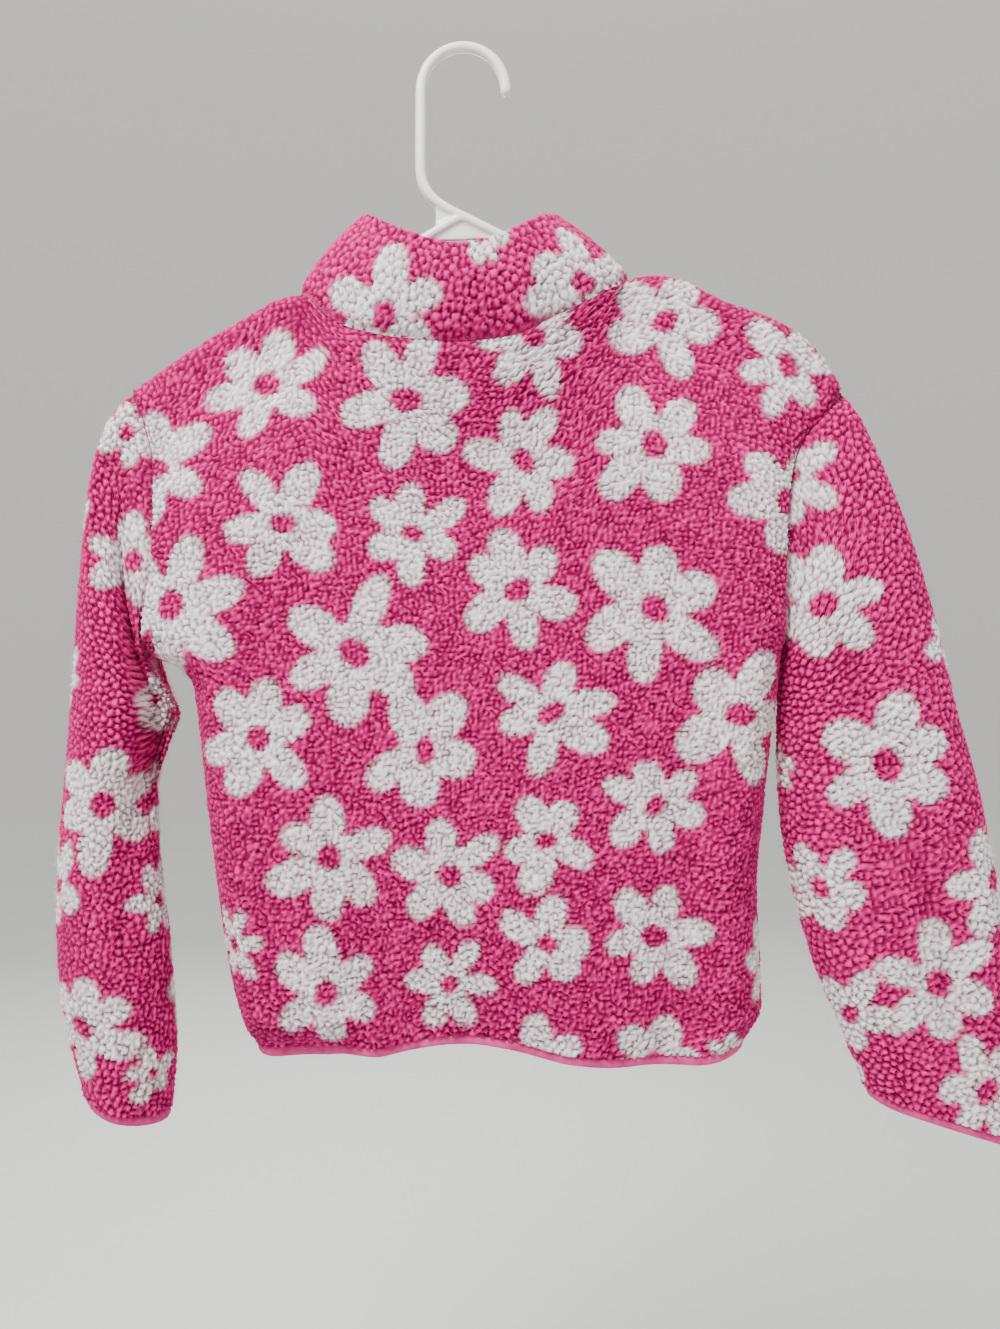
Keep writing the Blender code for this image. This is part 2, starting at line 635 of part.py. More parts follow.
def tube(name, points, radius, cyclic=False):
    """A round rod along points in the garment's middle plane."""
    curve = bpy.data.curves.new(name, "CURVE")
    curve.dimensions = "3D"
    curve.bevel_depth = radius * MM
    curve.bevel_resolution = 2
    curve.use_fill_caps = not cyclic
    spline = curve.splines.new("POLY")
    spline.points.add(len(points) - 1)
    for spot, (x, z) in zip(spline.points, points):
        spot.co = (x * MM, 0, z * MM, 1)
    spline.use_cyclic_u = cyclic
    return curve_to_mesh(name, curve)


def plate(name, outlines, thick):
    """A flat plate from outlines in its own XY plane; the first is its edge, the rest holes."""
    curve = bpy.data.curves.new(name, "CURVE")
    curve.dimensions = "2D"
    curve.fill_mode = "BOTH"
    curve.extrude = thick / 2 * MM
    for outline in outlines:
        spline = curve.splines.new("POLY")
        spline.points.add(len(outline) - 1)
        for spot, (x, y) in zip(spline.points, outline):
            spot.co = (x * MM, y * MM, 0, 1)
        spline.use_cyclic_u = True
    return curve_to_mesh(name, curve)


def curve_to_mesh(name, curve):
    guide = bpy.data.objects.new(name + "_guide", curve)
    CUTTERS.objects.link(guide)
    bpy.context.view_layer.update()
    graph = bpy.context.evaluated_depsgraph_get()
    mesh = bpy.data.meshes.new_from_object(guide.evaluated_get(graph))
    shape = bmesh.new()
    shape.from_mesh(mesh)
    bmesh.ops.remove_doubles(shape, verts=shape.verts, dist=0.00001)
    bmesh.ops.recalc_face_normals(shape, faces=shape.faces)
    shape.to_mesh(mesh)
    shape.free()
    bpy.data.objects.remove(guide)
    return bpy.data.objects.new(name, mesh)


def join(obj, others):
    """Boolean unions, applied one by one."""
    for other in others:
        CUTTERS.objects.link(other)
        cut = obj.modifiers.new("join", "BOOLEAN")
        cut.operation = "UNION"
        cut.object = other
        bpy.context.view_layer.update()
        graph = bpy.context.evaluated_depsgraph_get()
        mesh = bpy.data.meshes.new_from_object(obj.evaluated_get(graph))
        obj.modifiers.clear()
        obj.data = mesh
        bpy.data.objects.remove(other)


def arc(centre, radius, start, end, steps):
    turns = [math.radians(start + (end - start) * k / steps) for k in range(steps + 1)]
    return [(centre[0] + radius * math.cos(t), centre[1] + radius * math.sin(t)) for t in turns]


def hanger(colour):
    roll = math.radians(HANGER_ROLL)

    def rolled(x, z):
        return (PEAK[0] + x * math.cos(roll) + z * math.sin(roll),
                PEAK[1] - x * math.sin(roll) + z * math.cos(roll))

    half = [(0.0, 0.0), (ARM_BEND[0] * 0.5, ARM_BEND[1] * 0.5), ARM_BEND]
    half += arc((ARM_REACH - END_ROUND, ARM_DROP - END_ROUND), END_ROUND, 62, -90, 8)
    left = [rolled(x, z) for x, z in half]
    right = [rolled(-x, z) for x, z in half[1:]][::-1]
    frame = tube("hanger", left + right, ROD, cyclic=True)
    hook = arc(HOOK_CENTRE, HOOK_RADIUS, 187, -4, 20) + list(STEM)
    neck = tube("hook", hook, ROD)
    web = plate("web", [WEB], WEB_THICK)
    web.rotation_euler = (math.radians(90), 0, 0)
    JACKET.objects.link(frame)
    join(frame, [neck, web])
    frame.data.materials.clear()
    frame.data.materials.append(finish("hanger", colour, 0.35))
    frame.data.shade_smooth()
    frame.data.set_sharp_from_angle(angle=math.radians(40))
    return frame


def zip_closure():
    """Two tapes, the closed rows of teeth between them, the slider and its hinged pull tab."""
    stations = np.concatenate([ROWS_BELOW, ROWS_ARMHOLE, np.linspace(1, 2, COLLAR_ROWS + 1)[1:]])
    stations[0] = ZIP_FOOT
    tape_depths = (TAPE_DEPTH, TAPE_DEPTH + TAPE_THICK)
    chain_depths = (CHAIN_DEPTH - CHAIN_THICK / 2, CHAIN_DEPTH + CHAIN_THICK / 2)
    inner_edge = CHAIN_HALF_WIDTH + GAP
    left = (TAPE_REACH, inner_edge)
    right = (-inner_edge, -TAPE_REACH)
    chain = (CHAIN_HALF_WIDTH, -CHAIN_HALF_WIDTH)
    zip_strip("zip_tape_left", left, tape_depths, stations, TAPE_PINK, 0.8)
    zip_strip("zip_tape_right", right, tape_depths, stations, TAPE_PINK, 0.8)
    zip_strip("zip_chain", chain, chain_depths, stations, TAPE_PINK, 0.5)

    face_depth = CHAIN_DEPTH - CHAIN_THICK / 2 - GAP
    seat = zip_point(0.0, SLIDER_STATION, face_depth)
    rise = zip_point(0.0, SLIDER_STATION + 0.08, face_depth)
    rise = rise - zip_point(0.0, SLIDER_STATION - 0.08, face_depth)
    tilt = math.atan2(-rise[1], rise[2])
    turn = Matrix.Rotation(tilt, 4, "X")
    seat = Matrix.Translation(Vector(seat) * MM) @ turn
    across, thick, tall = SLIDER_SIZE

    bpy.ops.mesh.primitive_cube_add(size=1)
    slider = bpy.context.active_object
    slider.name = "zip_slider"
    slider.data.transform(Matrix.Diagonal((across * MM, thick * MM, tall * MM, 1)))
    slider.matrix_world = seat @ Matrix.Translation((0, -thick / 2 * MM, 0))
    for holder in slider.users_collection:
        holder.objects.unlink(slider)
    JACKET.objects.link(slider)
    bevel = slider.modifiers.new("rounded", "BEVEL")
    bevel.width = 1.4 * MM
    bevel.segments = 2
    bail = plate("bail", [BAIL, BAIL_WINDOW], BAIL_THICK)
    outward = Matrix(((0, 0, -1, 0), (-1, 0, 0, 0), (0, 1, 0, 0), (0, 0, 0, 1)))
    bail.matrix_world = seat @ Matrix.Translation((0, -thick * MM, 0)) @ outward
    join(slider, [bail])
    slider.data.materials.clear()
    slider.data.materials.append(finish("zip_slider", NICKEL, 0.3))
    slider.active_material.node_tree.nodes["Principled BSDF"].inputs["Metallic"].default_value = 1.0

    pull = plate("zip_pull", [PULL, PULL_WINDOW], PULL_THICK)
    out, up = PULL_AXIS
    axis = Matrix.Translation((0, -(thick + out) * MM, up * MM))
    pull.matrix_world = seat @ axis @ Matrix.Rotation(math.radians(90), 4, "X")
    JACKET.objects.link(pull)
    pull.data.materials.append(finish("zip_pull", NICKEL, 0.3))
    pull.active_material.node_tree.nodes["Principled BSDF"].inputs["Metallic"].default_value = 1.0
    return pull


for thing in list(bpy.data.objects):
    bpy.data.objects.remove(thing)
JACKET = bpy.data.collections.new("sherpa_jacket_on_hanger")
CUTTERS = bpy.data.collections.new("cutters")
bpy.context.scene.collection.children.link(JACKET)
bpy.context.scene.collection.children.link(CUTTERS)

back_columns = COLUMNS_LEFT + (CENTRE,) + COLUMNS_RIGHT
wall("back_panel", body_grid(back_columns, 1, 0), body_grid(back_columns, 1, 1), PINK)
wall("front_left", front_grid(1, 0), front_grid(1, 1), PINK)
wall("front_right", front_grid(-1, 0), front_grid(-1, 1), PINK)
sleeve("sleeve_left", SLEEVE_LEFT, PINK)
sleeve("sleeve_right", SLEEVE_RIGHT, PINK)
collar(PINK)
hem_binding("hem_binding_back", 1, 0, BINDING_PINK)
hem_binding("hem_binding_left", -1, 1, BINDING_PINK)
hem_binding("hem_binding_right", -1, -1, BINDING_PINK)
cuff_binding("cuff_binding_left", SLEEVE_LEFT, BINDING_PINK)
cuff_binding("cuff_binding_right", SLEEVE_RIGHT, BINDING_PINK)
zip_closure()
hanger(WHITE)
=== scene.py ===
import math

import bmesh
import bpy
import numpy as np
from mathutils import Matrix, Vector, kdtree


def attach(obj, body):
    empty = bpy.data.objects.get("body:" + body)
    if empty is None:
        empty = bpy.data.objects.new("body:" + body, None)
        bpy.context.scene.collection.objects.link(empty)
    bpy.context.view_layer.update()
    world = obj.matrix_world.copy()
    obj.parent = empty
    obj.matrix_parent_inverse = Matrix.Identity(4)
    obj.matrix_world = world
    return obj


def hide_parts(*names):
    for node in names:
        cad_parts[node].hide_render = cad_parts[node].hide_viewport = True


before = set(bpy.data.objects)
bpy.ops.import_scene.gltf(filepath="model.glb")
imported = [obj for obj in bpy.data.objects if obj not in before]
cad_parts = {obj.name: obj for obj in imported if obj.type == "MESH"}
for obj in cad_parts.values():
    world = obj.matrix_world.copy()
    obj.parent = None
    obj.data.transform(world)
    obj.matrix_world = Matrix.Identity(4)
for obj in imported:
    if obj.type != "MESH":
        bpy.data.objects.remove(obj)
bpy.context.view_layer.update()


# ---------------------------------------------------------------- back panel
# One piece of sherpa fleece from the neck to the hem, on dropped shoulders: a circular knit
# whose raised loops are brushed, curled into clumps and printed. It is sewn to the sleeves, the
# collar, the hem's binding and, at the sides and shoulders, the fronts.

MM = 0.001  # lengths below are in millimetres
GAP = 0.3  # the clearance that sewn pieces keep
SEAM_GAP = 1.6 * GAP  # the step that leaves it where two pieces meet at a slant
WALL = 6.0  # knit backing and pile together
PRESSED_WALL = 4.5  # the same where the hanger's arm presses the pile flat
SHOULDER_ROUND = 12.0
SIDE_ROUND = 26.0
SHOULDER_DROP = 120.0  # the shoulder reaches the chest's full depth this far down
NECK_HALF_WIDTH = 112.0
NECK_BACK_DEPTH = 38.0
NECK_FRONT_DEPTH = 36.0

# Edge seams from hem to shoulder tip: side seams below the underarm, armholes above it.
BODY_COLUMNS = (
    "v", "left_x", "flap", "left_z", "right_x", "right_z", "round", "back", "front",
)
BODY = (
    (0.00, 140.0, 0.0, -672.0, -190.0, -663.0, 0.0, 33.0, 24.0),
    (0.05, 150.0, 0.0, -648.0, -200.0, -644.0, 0.0, 34.0, 25.0),
    (0.12, 158.0, 0.0, -612.0, -199.0, -612.0, 0.0, 35.0, 25.0),
    (0.20, 165.0, 0.0, -564.0, -197.0, -566.0, 0.0, 35.0, 25.0),
    (0.30, 172.0, 0.0, -508.0, -202.0, -508.0, 0.0, 34.0, 25.0),
    (0.38, 177.0, 0.0, -462.0, -207.0, -462.0, 0.0, 33.0, 25.0),
    (0.44, 181.0, 0.0, -432.0, -211.0, -434.0, 0.0, 32.3, 24.7),
    (0.47, 183.0, 9.0, -418.0, -212.5, -418.0, 0.0, 31.9, 24.5),
    (0.50, 184.5, 28.5, -408.0, -213.5, -408.0, 0.0, 31.6, 24.3),
    (0.53, 187.0, 27.5, -396.0, -214.5, -396.0, 13.0, 31.2, 24.0),
    (0.62, 195.5, 13.0, -354.0, -215.0, -352.0, 15.0, 29.8, 23.0),
    (0.72, 203.5, 4.0, -310.0, -218.0, -308.0, 15.0, 27.5, 21.5),
    (0.82, 210.0, 0.0, -272.0, -226.0, -270.0, 14.0, 24.0, 19.0),
    (0.92, 217.0, 0.0, -246.0, -244.0, -247.0, 13.0, 18.0, 15.0),
    (1.00, 225.0, 0.0, -232.0, -257.0, -232.0, 0.0, 12.0, 12.0),
)
UNDERARM_V = 0.50
ARMHOLE_INSET = 0.15  # of the wall, how far the inside steps in along the armhole
ARMHOLE_START = 0.03  # the height over which that step begins
SHOULDER_V = 0.94
PRESSED_V = 0.80
PRESSED_SLOPE = 1.16
NECK_POINT = 0.25
FLAP_WIDTH = 0.13  # of the body's width, what sags out at the underarm
SEAM_LEFT = 0.3  # of the side's roundness, what the inside keeps

# The line over both shoulders and round the back of the neck, then the hem's wave.
SHOULDER = (
    (225.0, -232.0), (206.0, -218.5), (188.0, -206.0), (171.0, -195.0), (153.0, -184.5),
    (138.0, -175.5), (124.0, -168.5), (112.0, -166.5), (90.0, -187.0), (73.0, -197.0),
    (37.0, -206.0), (3.0, -208.5), (-29.0, -205.0), (-64.0, -188.0), (-82.0, -178.0),
    (-101.0, -165.0), (-112.0, -156.0), (-130.0, -153.0), (-147.0, -156.0), (-163.0, -163.5),
    (-180.0, -171.5), (-200.0, -178.0), (-220.0, -187.5), (-238.0, -202.0), (-249.0, -217.0),
    (-257.0, -232.0),
)
TIP_Z = -232.0
FRONT_NECK_DIP = 36.0
HEM = (
    (140.0, 0.0), (110.0, -1.0), (80.0, 0.0), (50.0, 4.0), (10.0, 10.5), (-30.0, 6.5),
    (-70.0, -2.5), (-110.0, -6.5), (-150.0, -5.0), (-175.0, -1.5), (-190.0, 0.0),
)
HEM_FADE_V = 0.22
HEM_FRONT = 0.3
CURL_END, CURL_WIDTH = 0.27, 0.10  # of the body's width, where the hem's corner rolls under
CURL_IN, CURL_IN_V = 12.0, 0.05
CURL_UP, CURL_UP_V = 5.0, 0.03

# Long soft folds: u at the top and at the foot, width, top and foot as shares of the body's
# height, and how far the cloth stands out. The last two run from the neck to the underarms.
BACK_FOLDS = (
    (0.10, 0.17, 0.055, 0.72, 0.00, 5.0),
    (0.20, 0.30, 0.060, 0.55, 0.00, -4.5),
    (0.42, 0.45, 0.070, 0.45, 0.00, -5.0),
    (0.60, 0.66, 0.075, 0.50, 0.00, 4.0),
    (0.86, 0.80, 0.050, 0.70, 0.05, -3.5),
    (0.93, 0.90, 0.040, 0.80, 0.10, 3.5),
    (0.30, 0.06, 0.045, 0.95, 0.61, 3.0),
    (0.72, 0.94, 0.045, 0.95, 0.63, 3.0),
)
FRONT_FOLDS = (
    (0.12, 0.16, 0.055, 0.70, 0.00, 4.0),
    (0.26, 0.24, 0.060, 0.55, 0.00, -3.5),
    (0.74, 0.70, 0.060, 0.60, 0.00, -3.5),
    (0.90, 0.86, 0.050, 0.70, 0.00, 3.5),
    (0.28, 0.07, 0.045, 0.95, 0.63, 2.5),
    (0.73, 0.93, 0.045, 0.95, 0.63, 2.5),
)


def along(stations, values, at):
    """A smooth curve through a table's values that never overshoots them."""
    if stations[0] > stations[-1]:
        stations, values = stations[::-1], values[::-1]
    step = np.diff(stations)
    slope = np.diff(values) / step
    tangent = np.zeros(len(values))
    tangent[0], tangent[-1] = slope[0], slope[-1]
    same = slope[:-1] * slope[1:] > 0
    mean = 2 * slope[:-1] * slope[1:] / np.where(same, slope[:-1] + slope[1:], 1)
    tangent[1:-1] = np.where(same, mean, 0)
    at = np.clip(at, stations[0], stations[-1])
    k = np.clip(np.searchsorted(stations, at) - 1, 0, len(step) - 1)
    t = (at - stations[k]) / step[k]
    rise = values[k] * (1 + 2 * t) * (1 - t) ** 2 + values[k + 1] * t * t * (3 - 2 * t)
    return rise + step[k] * (tangent[k] * t * (1 - t) ** 2 - tangent[k + 1] * t * t * (1 - t))


def column(rows, index):
    return np.array([row[index] for row in rows], float)


def body_column(name, v):
    return along(column(BODY, 0), column(BODY, BODY_COLUMNS.index(name)), v)


def ease(t):
    t = np.clip(t, 0, 1)
    return t * t * (3 - 2 * t)


def quarter(t):
    """The profile of a quarter round: 0 at the edge, 1 once it has turned."""
    return np.sqrt(1 - (1 - np.clip(t, 0, 1)) ** 2)


def folds(table, u, v):
    """How far a body cloth's folds push it out at each point."""
    foot_z = BODY[0][3]
    height = (body_column("left_z", v) - foot_z) / (TIP_Z - foot_z)
    out = np.zeros(height.shape)
    for u_top, u_foot, width, top, foot, depth in table:
        down = np.clip((top - height) / (top - foot), 0, 1)
        middle = u_top + (u_foot - u_top) * down
        out = out + depth * ease(down) * np.exp(-(((u - middle) / width) ** 2))
    return out


def crown(u, side):
    """The shoulder and neck line above the straight line between the shoulder tips."""
    xs = column(SHOULDER, 0)
    x = xs[0] + (xs[-1] - xs[0]) * u
    rise = along(xs, column(SHOULDER, 1) - TIP_Z, x)
    if side < 0:
        rise = rise - FRONT_NECK_DIP * ease(1 - (x / NECK_HALF_WIDTH) ** 2)
    return rise


def body_edges(v, inner):
    """A body cloth's left and right edges at a height and a depth."""
    at_armhole = ease((v - UNDERARM_V) / ARMHOLE_START)
    inset = WALL * inner * (1 - (1 - ARMHOLE_INSET) * at_armhole)
    return body_column("left_x", v) - inset, body_column("right_x", v) + inset


def body_point(u, v, side, inner):
    """A point of the body: u across from the wearer's left, v up from the hem, both 0 to 1.

    side is +1 on the back and -1 on the front; inner is 0 at the pile's top, 1 on the inside.
    """
    u, v = np.broadcast_arrays(np.asarray(u, float), np.asarray(v, float))
    inset = WALL * inner
    left, right = body_edges(v, inner)
    flap = body_column("flap", v) * np.clip(1 - u / FLAP_WIDTH, 0, 1) ** 2
    x, width = left + (right - left) * u + flap, left - right
    edge_z = body_column("left_z", v) * (1 - u) + body_column("right_z", v) * u
    lift = ease((v - UNDERARM_V) / (SHOULDER_V - UNDERARM_V))
    hem = along(column(HEM, 0), column(HEM, 1), x)
    hem = hem * ease(1 - v / HEM_FADE_V) * (1.0 if side > 0 else HEM_FRONT)
    z = edge_z + lift * crown(u, side) + hem
    below = crown(u, side) + TIP_Z - z
    half = NECK_HALF_WIDTH - 0.5 * inset
    ring = (NECK_BACK_DEPTH if side > 0 else NECK_FRONT_DEPTH) - inset
    in_neck = np.clip(1 - (x / half) ** 2, 0, 1)
    pressed = PRESSED_WALL * inner * PRESSED_SLOPE * ease((v - PRESSED_V) / (1 - PRESSED_V))
    z = z - pressed * (1 - ease(in_neck / NECK_POINT))
    seam = body_column("round", v)
    seam = np.maximum(seam - inset, seam * SEAM_LEFT)
    deep = body_column("back" if side > 0 else "front", v) - inset
    deep = deep + folds(BACK_FOLDS if side > 0 else FRONT_FOLDS, u, v)
    across = width * np.minimum(u, 1 - u)
    target = seam + (deep - seam) * quarter(across / (SIDE_ROUND - 0.6 * inset))
    cap = (SHOULDER_ROUND - PRESSED_WALL * inner) * quarter(below / SHOULDER_ROUND)
    rim = np.maximum(ring * np.sqrt(in_neck), cap)
    rim = np.minimum(rim, np.where(in_neck > 0, rim, target))
    y = rim + (target - rim) * ease(below / SHOULDER_DROP)
    if side > 0:  # the hem's left corner rolls under
        roll = ease((CURL_END - u) / CURL_WIDTH) * ease(1 - v / CURL_IN_V)
        y = y - CURL_IN * roll * ease(across / SIDE_ROUND)
        z = z + CURL_UP * roll * ease(1 - v / CURL_UP_V)
    return np.stack([x, side * np.maximum(y, 0.5 * GAP), z], -1)


PATH_POINTS = 1500  # enough to measure any seam within a hair


def even_steps(path, step):
    """Shares of a path at equal steps along it: path takes shares and gives points."""
    shares = np.linspace(0, 1, PATH_POINTS)
    points = path(shares)
    length = np.concatenate([[0], np.cumsum(np.linalg.norm(np.diff(points, axis=0), axis=1))])
    count = int(round(length[-1] / step)) + 1
    return np.interp(np.linspace(0, length[-1], count), length, shares)


def strip_faces(rows, columns, ring):
    """The quads of a grid of points, row by row."""
    index = np.arange(rows * columns).reshape(rows, columns)
    if ring:
        index = np.concatenate([index, index[:, :1]], 1)
    a, b, c, d = index[:-1, :-1], index[:-1, 1:], index[1:, 1:], index[1:, :-1]
    return np.stack([a, b, c, d], -1).reshape(-1, 4)


def add_mesh(name, points, faces, material, fields=None, smooth=True):
    """A named mesh in the scene, from points in millimetres."""
    mesh = bpy.data.meshes.new(name)
    points = np.asarray(points, float) * MM
    faces = [np.asarray(f) for f in (faces if isinstance(faces, list) else [faces])]
    loops = np.concatenate([f.ravel() for f in faces])
    sizes = np.concatenate([np.full(len(f), f.shape[1]) for f in faces])
    mesh.vertices.add(len(points))
    mesh.vertices.foreach_set("co", points.ravel())
    mesh.loops.add(len(loops))
    mesh.loops.foreach_set("vertex_index", loops)
    mesh.polygons.add(len(sizes))
    mesh.polygons.foreach_set("loop_start", np.concatenate([[0], np.cumsum(sizes)[:-1]]))
    mesh.update(calc_edges=True)
    for field, values in (fields or {}).items():
        layer = mesh.attributes.new(field, "FLOAT", "POINT")
        layer.data.foreach_set("value", np.asarray(values, np.float32))
    if smooth:
        mesh.shade_smooth()
    mesh.materials.append(material)
    obj = bpy.data.objects.new(name, mesh)
    bpy.context.scene.collection.objects.link(obj)
    return obj


def cloth_wall(name, outer, inner, material, ring=False):
    """The knit backing, closed all round, between an outer and an inner grid of points."""
    rows, columns = outer.shape[:2]
    count = rows * columns
    points = np.concatenate([outer.reshape(-1, 3), inner.reshape(-1, 3)])
    out = strip_faces(rows, columns, ring)
    away = np.cross(outer[0, 1] - outer[0, 0], outer[1, 0] - outer[0, 0])
    flip = np.dot(away, outer[0, 0] - inner[0, 0]) < 0
    index = np.arange(count).reshape(rows, columns)
    edges = [(index[0], True), (index[-1], False)]
    if not ring:
        edges += [(index[:, 0], False), (index[:, -1], True)]
    rims = []
    for line, backwards in edges:
        line = np.append(line, line[0]) if ring else line
        a, b = (line[1:], line[:-1]) if backwards else (line[:-1], line[1:])
        rims.append(np.stack([a, b, b + count, a + count], -1))
    faces = np.concatenate([out, out[:, ::-1] + count] + rims)
    return add_mesh(name, points, faces[:, ::-1] if flip else faces, material)


# The fleece itself. Its pile is made of curled clumps 4 to 5 mm across, which part in
# crevices, dark from their depth and from painted shade, and lie flat along the seams. Each
# clump leans to the colour printed at its middle, so the petals' edges are soft.
CLUMP = 3.35  # least distance between two clumps' middles
CLUMP_STRAY = 0.25  # how far a middle strays from an even spread
CLUMP_RISE = 0.9  # how far a clump stands over the cloth's plain surface
RISE_SPREAD = (0.55, 1.25)
CLUMP_DOME = 0.22  # how much lower a clump is at its side than in its middle
CREVICE = 2.1  # how deep the pile parts between clumps
CREVICE_WIDTH = 1.75
CREVICE_BEND, BEND_SIZE = 0.75, 5.3  # crevices wander by the first over lengths of the second
NAP, NAP_SIZE = 0.25, 1.9  # unevenness of the clumps' own surface
CREVICE_SHADE_WIDTH = 2.8  # how far from a crevice its painted shade lifts to the clump's own colour
FOLD_REACH = 8  # mesh steps to each side, over which a fold is felt
FOLD_DEPTH = 8.0
FOLD_PAINTED_SHADE = 0.7  # painted shade: how much darker pile deep in a fold is painted
SEAM_PINCH = 1.9  # how far the pile is pressed down at a seam
PINCH_WIDTH = 3.2
PINCH_FLAT, PINCH_PAINTED_SHADE = 0.5, 0.3  # how much it is flattened there, and how much painted shade darkens it
PINCH_FIBRE = 0.4  # how much its fibres are shorter there
FIBRE_LENGTH = 4.2
FIBRE_SPREAD = (0.4, 1.1)
FIBRE_WIDTH = 0.36
FIBRE_LEAN, FIBRE_BEND = 0.75, 0.8
FIBRE_ROOT = 0.5  # how deep a fibre starts in its clump
FIBRE_TONE = 0.9  # nearly the clumps' lightest tone: the fibres carry almost no painted shade
PILE_SEED = 11
PRINT_BLEED = 0.45  # how far a clump draws the print towards the colour at its middle
PRINT_WAVER, WAVER_SIZE = 0.9, 7.1  # the print's edge wanders with the pile

# A printed petal and the flower's middle, as shares of the flower's radius.
PETAL_REACH = (0.82, 1.10)
PETAL_LONG = 0.52
PETAL_WIDE, PETAL_ROOM = (0.84, 1.14), 0.54
PETAL_FOOT, PETAL_FLARE = 0.66, 0.50  # its width at the foot, and what it gains to the tip
PETAL_TURN = 0.13  # how far it strays, as a share of the step between petals
PETAL_SKEW, SKEW_FROM = 0.16, 0.4
HEART, HEART_FALL = 0.41, 0.8
EYE_WIDE, EYE_TALL = (0.16, 0.21), (0.21, 0.27)
PRINT_EDGE = 3.0  # the width over which white turns to pink
FACING = 0.15  # a flower's middle lies on cloth that faces its side at least this much,
WRAP = -8.0  # and no further than this past the garment's middle plane
PRINT_WITHIN = 1.5  # how far out a flower is looked for, as a share of its radius,
PRINT_WRAPS = -0.25  # and how far the cloth may turn from its middle's own facing


def spaced_points(points, spacing, rng):
    """Points picked from many, none nearer to another than the spacing."""
    cells, kept = {}, []
    keys = np.floor(points / spacing).astype(int)
    around = [(i, j, k) for i in (-1, 0, 1) for j in (-1, 0, 1) for k in (-1, 0, 1)]
    for n in rng.permutation(len(points)):
        a, b, c = keys[n]
        p = points[n]
        near = (cells.get((a + i, b + j, c + k)) for i, j, k in around)
        if all(q is None or (q[0] - p[0]) ** 2 + (q[1] - p[1]) ** 2 + (q[2] - p[2]) ** 2
               > spacing ** 2 for group in near if group for q in group):
            cells.setdefault((a, b, c), []).append(tuple(p))
            kept.append(n)
    return np.array(kept)


def grid_normals(points, inside, ring):
    """Unit normals of a grid of points, away from the points inside."""
    if ring:
        wrapped = np.concatenate([points[:, -1:], points, points[:, :1]], 1)
        across = np.gradient(wrapped, axis=1)[:, 1:-1]
    else:
        across = np.gradient(points, axis=1)
    normals = np.cross(across, np.gradient(points, axis=0))
    normals /= np.maximum(np.linalg.norm(normals, axis=-1, keepdims=True), 1e-9)
    outward = ((points - inside) * normals).sum(-1).mean()
    return normals * (1 if outward > 0 else -1)


def hollows(points, normals, ring):
    """How far each point of a grid lies in a fold: 0 on open cloth, 1 deep in a sharp one."""
    wide = np.pad(points, ((0, 0), (FOLD_REACH, FOLD_REACH), (0, 0)), "wrap" if ring else "edge")
    beside = (wide[:, :-2 * FOLD_REACH] + wide[:, 2 * FOLD_REACH:]) / 2
    return np.clip(((beside - points) * normals).sum(-1) / FOLD_DEPTH, 0, 1)


def waviness(points, size, phase):
    """A smooth field of about -1 to 1 whose lumps are as large as size."""
    p = points * (2 * math.pi / size)
    return (np.sin(p[..., 0] + 1.7 * np.sin(0.61 * p[..., 2] + phase))
            * np.sin(p[..., 2] + 1.3 * np.sin(0.73 * p[..., 0] + 2 * phase))
            + 0.5 * np.sin(1.9 * p[..., 1] + 1.4 * p[..., 0] - 1.1 * p[..., 2] + phase)) / 1.5


def wander(points, size, phase):
    """Three such fields at once, to push points about in x, y and z."""
    return np.stack([waviness(points, size, phase + k) for k in range(3)], -1)


